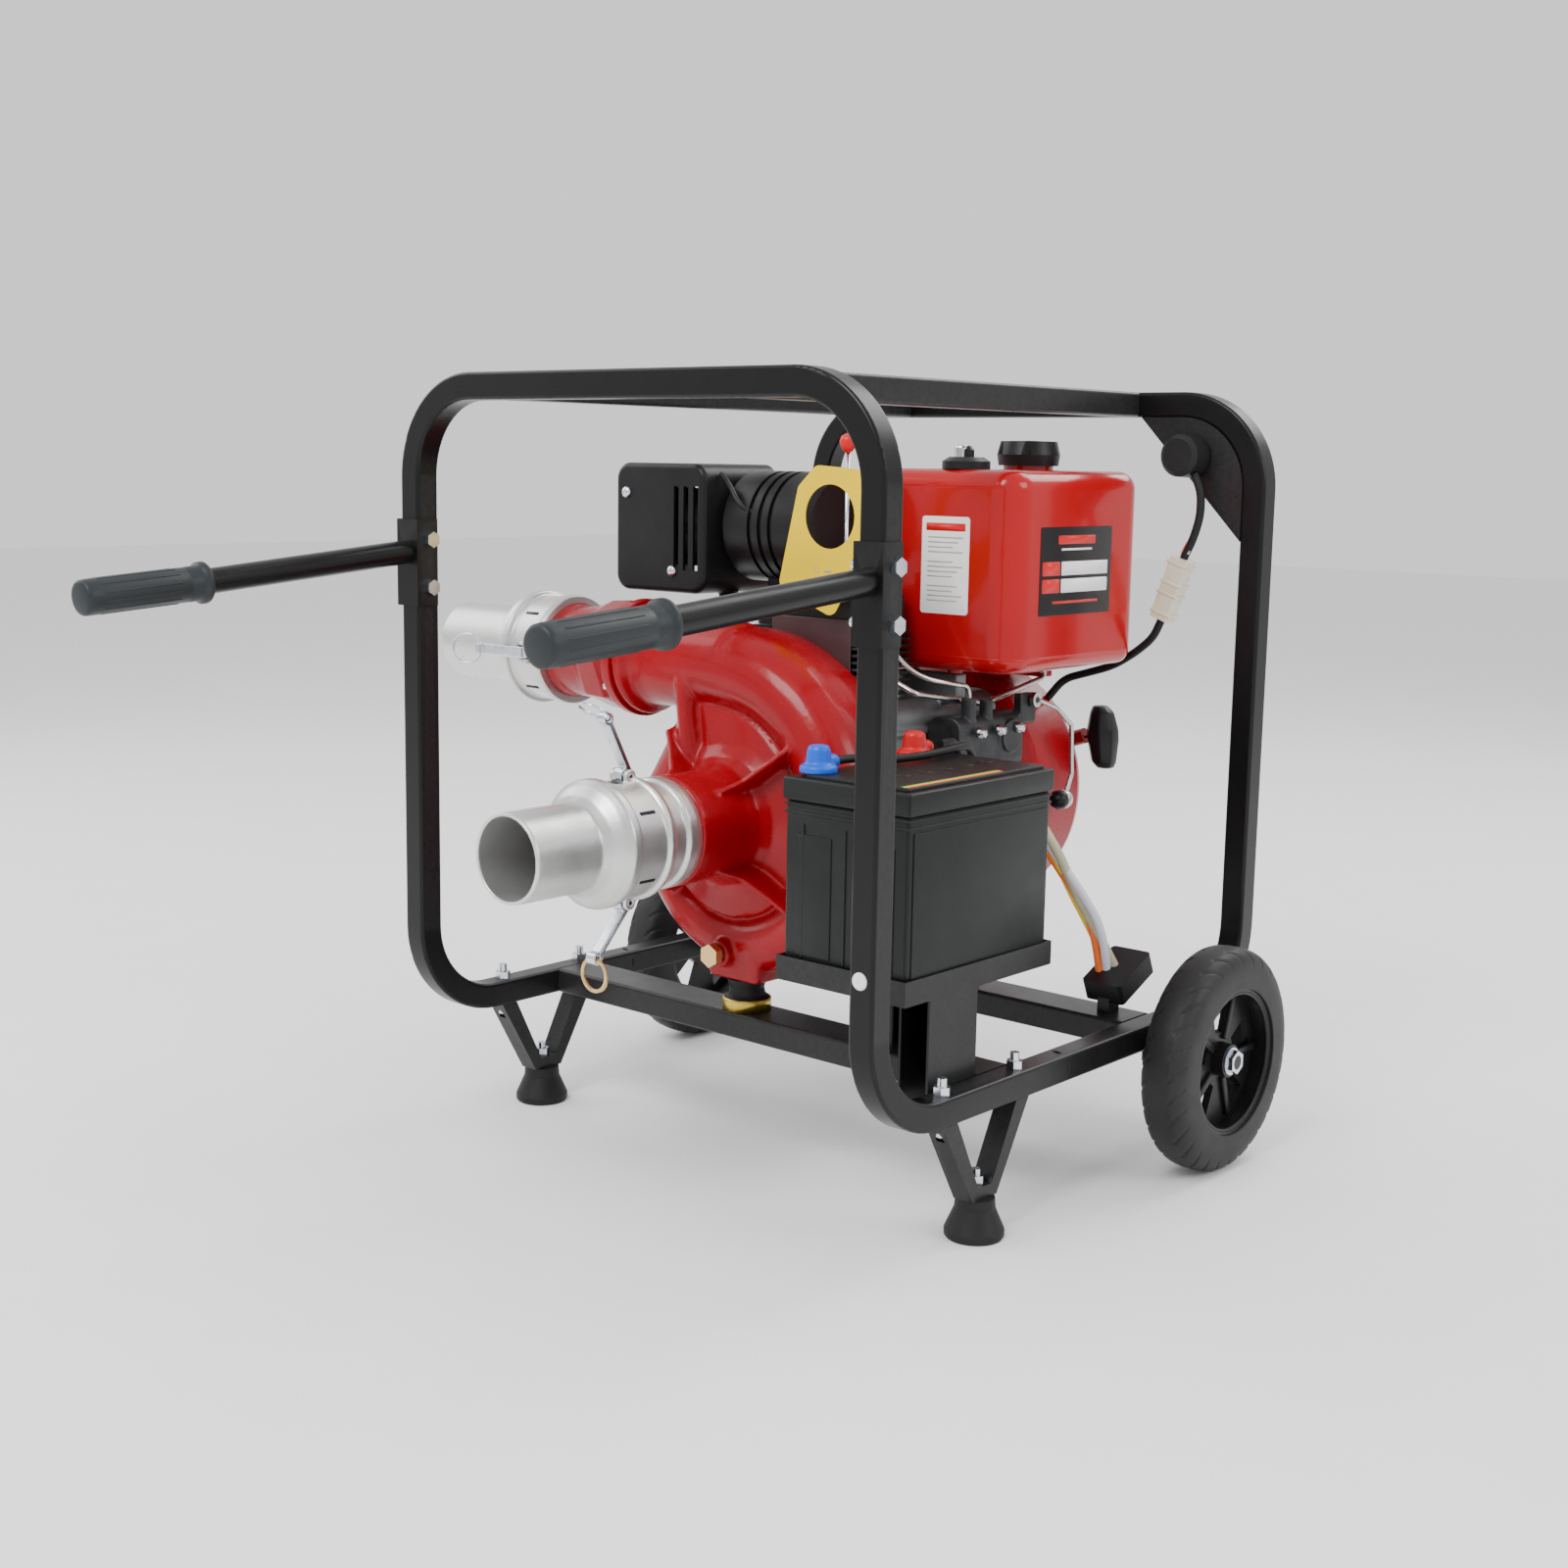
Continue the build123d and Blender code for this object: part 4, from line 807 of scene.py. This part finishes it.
class PUMP_OT_tank(bpy.types.Operator):
    """Add the tank's seam, labels and knob"""
    bl_idname = "pump.tank"
    bl_label = "Fuel tank"

    def execute(self, context):
        kit = finishes(context.scene.pump_looks)
        low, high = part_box("fuel_tank")
        size = (high - low) / MM
        seam = plate("tank_seam", rounded_outline(size.x + 0.6, size.y + 0.6, 34, 10),
                     at("fuel_tank", (0.5, 0.5, 0), (0, 0, 22)), (1, 0, 0), (0, 1, 0), 2.4, 0.8)
        done(seam, kit, "tank_red")
        label = Vector((low.x + 0.104, low.y - 0.0001, low.z + 0.128))
        front = {"right": (1, 0, 0), "up": (0, 0, 1)}
        card = plate("front_label", rounded_outline(68, 112, 4), label, thickness=0.4, rounding=0.15,
                     **front)
        done(card, kit, "label_card")
        top = plate("front_label_header", rounded_outline(56, 9, 1), label + mm(0, -0.35, 44),
                    thickness=0.2, rounding=0, **front)
        done(top, kit, "label_card", look="cap_red")
        lines = []
        for row in range(15):
            if row % 5 != 4:
                wide = 50 - 7 * (row * 7 % 3)
                offset = mm(-(50 - wide) / 2, -0.35, 32 - row * 5.6)
                lines.append(plate("line", rounded_outline(wide, 1.5, 0.5, 2), label + offset,
                                   thickness=0.2, rounding=0, **front))
        done(joined("front_label_lines", lines), kit, "label_card", look="label_ink")
        label = Vector((high.x + 0.0001, low.y + 0.127, low.z + 0.123))
        side = {"right": (0, 1, 0), "up": (0, 0, 1)}
        card = plate("side_label", rounded_outline(150, 102, 2), label, thickness=0.4, rounding=0.15,
                     **side)
        done(card, kit, "label_card", look="label_black")
        for name, look, strips in (
            ("side_label_red", "cap_red",
             ((0, 36, 78, 10), (-52, 3, 36, 16), (-52, -17, 36, 16), (0, -36, 96, 3))),
            ("side_label_white", "label_card",
             ((18, 3, 98, 16), (18, -17, 98, 16), (0, 25, 64, 2.4))),
        ):
            bars = [plate("bar", rounded_outline(wide, tall, 1, 3), label + mm(0.35, u, v),
                          thickness=0.2, rounding=0, **side) for u, v, wide, tall in strips]
            done(joined(name, bars), kit, "label_card", look=look)
        knob = at("tank_vent", (0.5, 0.5, 0), (-4, -4, 12))
        profile = [(0, 0), (0, 8)]
        for step in range(7):
            profile += [(1.2 + step * 1.8, 8.4), (2.0 + step * 1.8, 7.8)]
        profile += [(14.5, 7.6), (15.6, 6), (15.6, 0)]
        done(lathe("vent_knob", knob, (0, 0, 1), profile, 40), kit, "zinc_steel")
        return {"FINISHED"}


class PUMP_OT_engine_dress(bpy.types.Operator):
    """Add the muffler screws, side plate, pipes and bolts of the engine"""
    bl_idname = "pump.engine_dress"
    bl_label = "Engine fittings"

    def screw(self, place, direction, radius, height):
        return lathe("screw", place, direction, [
            (0, 0), (0, radius), (height * 0.3, radius), (height * 0.75, radius * 0.8),
            (height, radius * 0.4), (height, 0),
        ], 28)

    def execute(self, context):
        kit = finishes(context.scene.pump_looks)
        low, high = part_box("muffler_guard")
        screws = [
            self.screw(Vector((low.x + 0.020, low.y, high.z - 0.036)), (0, -1, 0), 7, 4.5),
            self.screw(Vector((high.x - 0.052, low.y, low.z + 0.026)), (0, -1, 0), 7, 4.5),
        ]
        done(joined("muffler_screws", screws), kit, "zinc_steel")
        corner = Vector((high.x, low.y, high.z))
        bend = [corner + mm(*step) for step in (
            (1, 28, -12), (18, 22, -20), (42, 18, -52), (56, 30, -56))]
        done(wire("muffler_hook", bend, 3.2), kit, "heat_black")
        low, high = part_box("cylinder_barrel")
        place = Vector(((low.x + high.x) / 2 + 0.017, low.y - 0.003, (low.z + high.z) / 2 + 0.006))
        cover = slab("cylinder_side_plate", place, (118, 3, 96), 1.2)
        done(cover, kit, "heat_black", look="side_plate")
        screw = self.screw(place + mm(0, -1.5, 6), (0, -1, 0), 7, 5)
        done(screw, kit, "zinc_steel")
        low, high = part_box("crankcase_cover")
        bolts = []
        for x in (low.x + 0.012, high.x - 0.012):
            for z in (low.z + 0.05, (low.z + high.z) / 2, high.z - 0.05):
                bolts.append(self.screw(Vector((x, low.y, z)), (0, -1, 0), 5.5, 5))
        done(joined("cover_bolts", bolts), kit, "zinc_steel")
        low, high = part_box("injection_pump")
        start = Vector((low.x + 0.036, low.y + 0.030, high.z - 0.002))
        line = wire("injector_pipe", [
            start, start + mm(0, 0, 16), start + mm(4, -30, 20), start + mm(-18, -78, 30),
            start + mm(-48, -92, 62), at("rocker_cover", (0.92, 0.35, 0.35)),
        ], 3)
        done(line, kit, "machined_steel")
        nuts = []
        for share in (0.2, 0.45, 0.7):
            nuts.append(lathe("nut", Vector((high.x - 0.004, low.y + (high.y - low.y) * share,
                                             low.z + 0.050)), (1, 0, 0),
                              [(0, 0), (0, 7), (5, 7), (6, 5), (10, 5), (10, 0)], 6))
        done(joined("injection_pump_unions", nuts), kit, "zinc_steel")
        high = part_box("blower_shroud")[1]
        bolts = []
        bolt_circle = 0.141
        for degrees in (15, 75, 135, 195, 255, 315):
            place = PUMP_CENTRE + spoke(math.radians(degrees)) * bolt_circle
            place.y = high.y
            bolts.append(self.screw(place, (0, 1, 0), 5, 4))
        done(joined("shroud_bolts", bolts), kit, "zinc_steel")
        slots = {row["node"]: row["material_slot"] for row in frame["record"]["subparts"]}
        for node, voxel in (("crankcase", 2.2), ("crankcase_cover", 1.6), ("injection_pump", 1.2),
                            ("pump_bracket", 1.8)):
            piece = cast_from(node, node + "_casting", voxel, 3)
            look = "engine_dark" if node == "injection_pump" else None
            done(piece, kit, slots[node], [node], look=look)
        low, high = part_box("speed_lever")
        knob = lathe("speed_knob", Vector((high.x - 0.012, low.y + 0.052, low.z + 0.012)), (1, 0, 0), [
            (-12.4, 0), (-11.6, 4.6), (-8, 9.6), (0, 12.5), (8, 9.6), (11.6, 4.6), (12.2, 0)], 36)
        done(knob, kit, "black_plastic", body="speed_control")
        return {"FINISHED"}


class PUMP_OT_decompressor(bpy.types.Operator):
    """Model the decompression lever with its red knob, and the tag's marks"""
    bl_idname = "pump.decompressor"
    bl_label = "Decompression lever"

    def execute(self, context):
        kit = finishes(context.scene.pump_looks)
        pivot = Vector(JOINTS["decompression_tilt"]["pos_m"])
        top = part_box("decompression_lever")[1].z - 0.010
        stem_end = (top - pivot.z) / MM - 8
        stem = lathe("stem", pivot + mm(0, 0, 3), (0, 0, 1), [
            (0, 0), (0, 3), (8, 2.4), (stem_end, 2.4), (stem_end, 0),
        ], 24)
        eye = lathe("eye", pivot - mm(0, 8, 0), (0, 1, 0), [
            (0, 3.1), (0, 5.2), (1, 6), (15, 6), (16, 5.2), (16, 3.1)], 32)
        done(joined("decompression_stem", [stem, eye]), kit, "zinc_steel",
             ["decompression_lever"], "decompressor")
        knob = lathe("decompression_knob", Vector((pivot.x, pivot.y, top)), (0, 0, 1), [
            (-11, 0), (-11, 4), (-9, 6), (-4, 9), (2, 10), (7, 8.2), (9.6, 4), (10, 0)], 36)
        done(knob, kit, "cap_red", body="decompressor")
        mark = at("hang_tag", (0.44, 0, 0.30), (0, -0.1, 0))
        marks = [ring("mark", mark, (0, 1, 0), 3.4, 0.35),
                 plate("mark", rounded_outline(10, 2.6, 0.8, 2), mark + mm(17, 0, -1), (1, 0, 0),
                       (0, 0, 1), 0.25, 0)]
        done(joined("tag_marks", marks), kit, "tag_yellow", body="tag", look="label_ink")
        return {"FINISHED"}


class PUMP_OT_recoil(bpy.types.Operator):
    """Model the recoil starter's grip"""
    bl_idname = "pump.recoil"
    bl_label = "Recoil grip"

    def execute(self, context):
        kit = finishes(context.scene.pump_looks)
        low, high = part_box("recoil_handle")
        centre = (low + high) / 2
        half_y = (high.y - low.y) / 2 / MM
        half_x = (high.x - low.x) / 2 / MM
        height = (high.z - low.z) / MM
        points = []
        rows = ((0, 0.52), (0.10, 0.78), (0.45, 0.98), (0.62, 0.98), (0.90, 0.74), (1, 0.46))
        for share, swell in rows:
            lean = (0.5 - share) * 11 * (1 if share in (0, 1) else 0.6)
            for step in range(8):
                angle = math.tau * (step + 0.5) / 8
                wide = half_x * 1.02 * swell * math.cos(angle)
                deep = half_y * 1.02 * swell * math.sin(angle)
                points.append(Vector((centre.x, centre.y, low.z)) + mm(wide + lean, deep, share * height))
        faces = grid_faces(len(rows), 8, False, True)
        last = (len(rows) - 1) * 8
        faces += [tuple(range(8)), tuple(range(last, last + 8))]
        grip = new_mesh("recoil_grip", points, faces, smooth=False)
        soften(grip, 2.4, 3, 12)
        grip.data.shade_smooth()
        done(grip, kit, "black_plastic", ["recoil_handle"], "pull_handle")
        return {"FINISHED"}


class PUMP_OT_wiring(bpy.types.Operator):
    """Add the coloured wires and the connector's ribs"""
    bl_idname = "pump.wiring"
    bl_label = "Wiring"

    def execute(self, context):
        kit = finishes(context.scene.pump_looks)
        low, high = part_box("harness_connector")
        top = Vector((high.x - 0.012, (low.y + high.y) / 2, high.z - 0.002))
        bottom = Vector((low.x + 0.012, (low.y + high.y) / 2, low.z + 0.002))
        along = (bottom - top).normalized()
        ribs = []
        for share in (0.12, 0.42, 0.58, 0.88):
            place = top.lerp(bottom, share)
            across = along.cross(Vector((0, 1, 0)))
            turn = Matrix((across, Vector((0, 1, 0)), along)).transposed()
            ribs.append(slab("rib", place, (29, 24, 4), 1, turn))
        done(joined("connector_ribs", ribs), kit, "connector_clear")
        colours = ("wire_orange", "wire_white", "wire_yellow", "wire_beige")
        for number, key in enumerate(colours):
            fan = (number - 1.5) * 4
            start = top - along * 0.003
            points = [start + mm(fan, 3 - number * 2, 0), start - along * 0.010 + mm(fan * 0.8, 0, 0),
                      start - along * 0.022 + mm(fan * 0.3 + 5, 0, 2)]
            done(wire(f"connector_wire_{number + 1}", points, 1.4), kit, "cable_black", look=key)
        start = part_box("battery_case")[1]
        end_low, end_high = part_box("regulator")
        for number, (key, bulge, radius) in enumerate((
            ("wire_orange", 10, 4.6), ("wire_white", 22, 5.2), ("wire_yellow", 4, 4.4),
            ("wire_beige", 12, 6.0),
        )):
            shift = number * 7
            points = [
                start + mm(-150, 150, -30), start + mm(-130 + shift, 165, -85),
                start + mm(-92 + bulge, 178, -150),
                Vector((start.x, start.y, end_high.z)) + mm(-66 + bulge, 190, 22),
                end_low + mm(12 + shift * 0.8, 22 + shift, 32),
            ]
            piece = wire(f"regulator_wire_{number + 1}", points, radius)
            done(piece, kit, "cable_black", look=key)
        heatsink = []
        for step in range(7):
            place = middle("regulator") + mm(-21 + step * 7, -3, 13)
            turn = Matrix.Rotation(math.radians(24), 3, "X")
            heatsink.append(slab("fin", place, (2, 66, 8), 0.6, turn))
        done(joined("regulator_fins", heatsink), kit, "black_plastic")
        return {"FINISHED"}


class PUMP_OT_frame_dress(bpy.types.Operator):
    """Add the frame plug, the mount cup and the weld beads"""
    bl_idname = "pump.frame_dress"
    bl_label = "Frame fittings"

    def execute(self, context):
        kit = finishes(context.scene.pump_looks)
        hoop_low, hoop_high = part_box("front_hoop")
        plug = Vector((hoop_high.x - 0.016, hoop_low.y, hoop_low.z + 0.173))
        disc = lathe("frame_plug", plug, (0, -1, 0), [(0, 0), (0, 9), (1.4, 8.4), (2.4, 5), (2.8, 0)], 40)
        done(disc, kit, "label_card")
        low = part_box("vibration_mounts")[0]
        cup = Vector((PUMP_CENTRE.x, low.y + 0.027, low.z))
        cups = lathe("pump_mount_cup", cup, (0, 0, 1), [
            (0.2, 27.2), (0.2, 28.6), (13, 28.6), (14.5, 27.8), (14.5, 27.2)], 56)
        done(cups, kit, "zinc_steel", look="yellow_zinc")
        rail_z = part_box("frame_bars")[0].z + 0.015
        welds = []
        for x in (hoop_low.x + 0.015, hoop_high.x - 0.015):
            welds.append(ring("bead", Vector((x, hoop_high.y, rail_z)), (0, 1, 0), 15.2, 1.2))
        done(joined("rail_welds", welds), kit, "black_powder_coat")
        return {"FINISHED"}


class PUMP_OT_stage(bpy.types.Operator):
    """Set the floor, the lights and the camera"""
    bl_idname = "pump.stage"
    bl_label = "Stage"

    def execute(self, context):
        setup = context.scene.pump_stage
        edge = 14
        corners = [(-edge, -edge, 0), (edge, -edge, 0), (edge, edge, 0), (-edge, edge, 0)]
        floor = new_mesh("floor", corners, [(0, 1, 2, 3)], smooth=False)
        floor.data.materials.append(finish("pale floor", (0.90, 0.90, 0.90), 0.8, variation=0.01))
        world = bpy.data.worlds.new("studio")
        world.use_nodes = True
        sky = world.node_tree.nodes["Background"]
        sky.inputs["Color"].default_value = (1, 1, 1, 1)
        sky.inputs["Strength"].default_value = 1.05
        context.scene.world = world
        target = Vector((0, 0, 0.45))
        for name, place, size, power in (
            ("key", (0.2, -2.7, 3.4), 1.8, 130), ("fill", (-3.2, -0.6, 2.4), 2.4, 55),
            ("back", (0.6, 3.2, 3.4), 2.2, 90), ("right", (3.4, 0.8, 2.2), 1.6, 45),
        ):
            light = bpy.data.lights.new(name, "AREA")
            light.size = size
            light.energy = power
            lamp = placed(name, light)
            lamp.location = place
            lamp.rotation_euler = (target - Vector(place)).to_track_quat("-Z", "Y").to_euler()
        camera = bpy.data.cameras.new("camera")
        camera.lens = setup.lens
        camera.sensor_width = 36
        camera.clip_end = 60
        holder = placed("camera", camera)
        forward = Vector((
            -math.sin(setup.camera_yaw) * math.cos(setup.camera_pitch),
            math.cos(setup.camera_yaw) * math.cos(setup.camera_pitch),
            -math.sin(setup.camera_pitch),
        ))
        level = forward.cross(Vector((0, 0, 1))).normalized()
        up = level.cross(forward)
        right = level * math.cos(setup.camera_roll) + up * math.sin(setup.camera_roll)
        top = right.cross(forward)
        turn = Matrix((right, top, -forward)).transposed()
        holder.matrix_world = Matrix.Translation(Vector(setup.camera_place)) @ turn.to_4x4()
        context.scene.camera = holder
        return {"FINISHED"}


STEPS = (
    PUMP_OT_stage, PUMP_OT_frame_finishes, PUMP_OT_casing, PUMP_OT_couplings, PUMP_OT_cam_levers,
    PUMP_OT_wheels, PUMP_OT_handles, PUMP_OT_battery, PUMP_OT_tank, PUMP_OT_engine_dress,
    PUMP_OT_decompressor, PUMP_OT_recoil, PUMP_OT_wiring, PUMP_OT_frame_dress,
)


class PUMP_PT_panel(bpy.types.Panel):
    """Lists the pump's colours, sizes and steps."""
    bl_idname = "PUMP_PT_panel"
    bl_label = "Fire pump"
    bl_space_type = "VIEW_3D"
    bl_region_type = "UI"
    bl_category = "Fire pump"

    def draw(self, context):
        for settings, group in (
            (context.scene.pump_looks, PUMP_PG_looks), (context.scene.pump_stage, PUMP_PG_stage),
        ):
            for name in group.__annotations__:
                self.layout.prop(settings, name)
        for step in STEPS:
            self.layout.operator(step.bl_idname)


CLASSES = (PUMP_PG_looks, PUMP_PG_stage, *STEPS, PUMP_PT_panel)


def register():
    for item in CLASSES:
        bpy.utils.register_class(item)
    bpy.types.Scene.pump_looks = PointerProperty(type=PUMP_PG_looks)
    bpy.types.Scene.pump_stage = PointerProperty(type=PUMP_PG_stage)


def unregister():
    del bpy.types.Scene.pump_stage
    del bpy.types.Scene.pump_looks
    for item in reversed(CLASSES):
        bpy.utils.unregister_class(item)


def main():
    register()
    for step in STEPS:
        group, name = step.bl_idname.split(".")
        getattr(getattr(bpy.ops, group), name)()


if __name__ == "__main__":
    main()
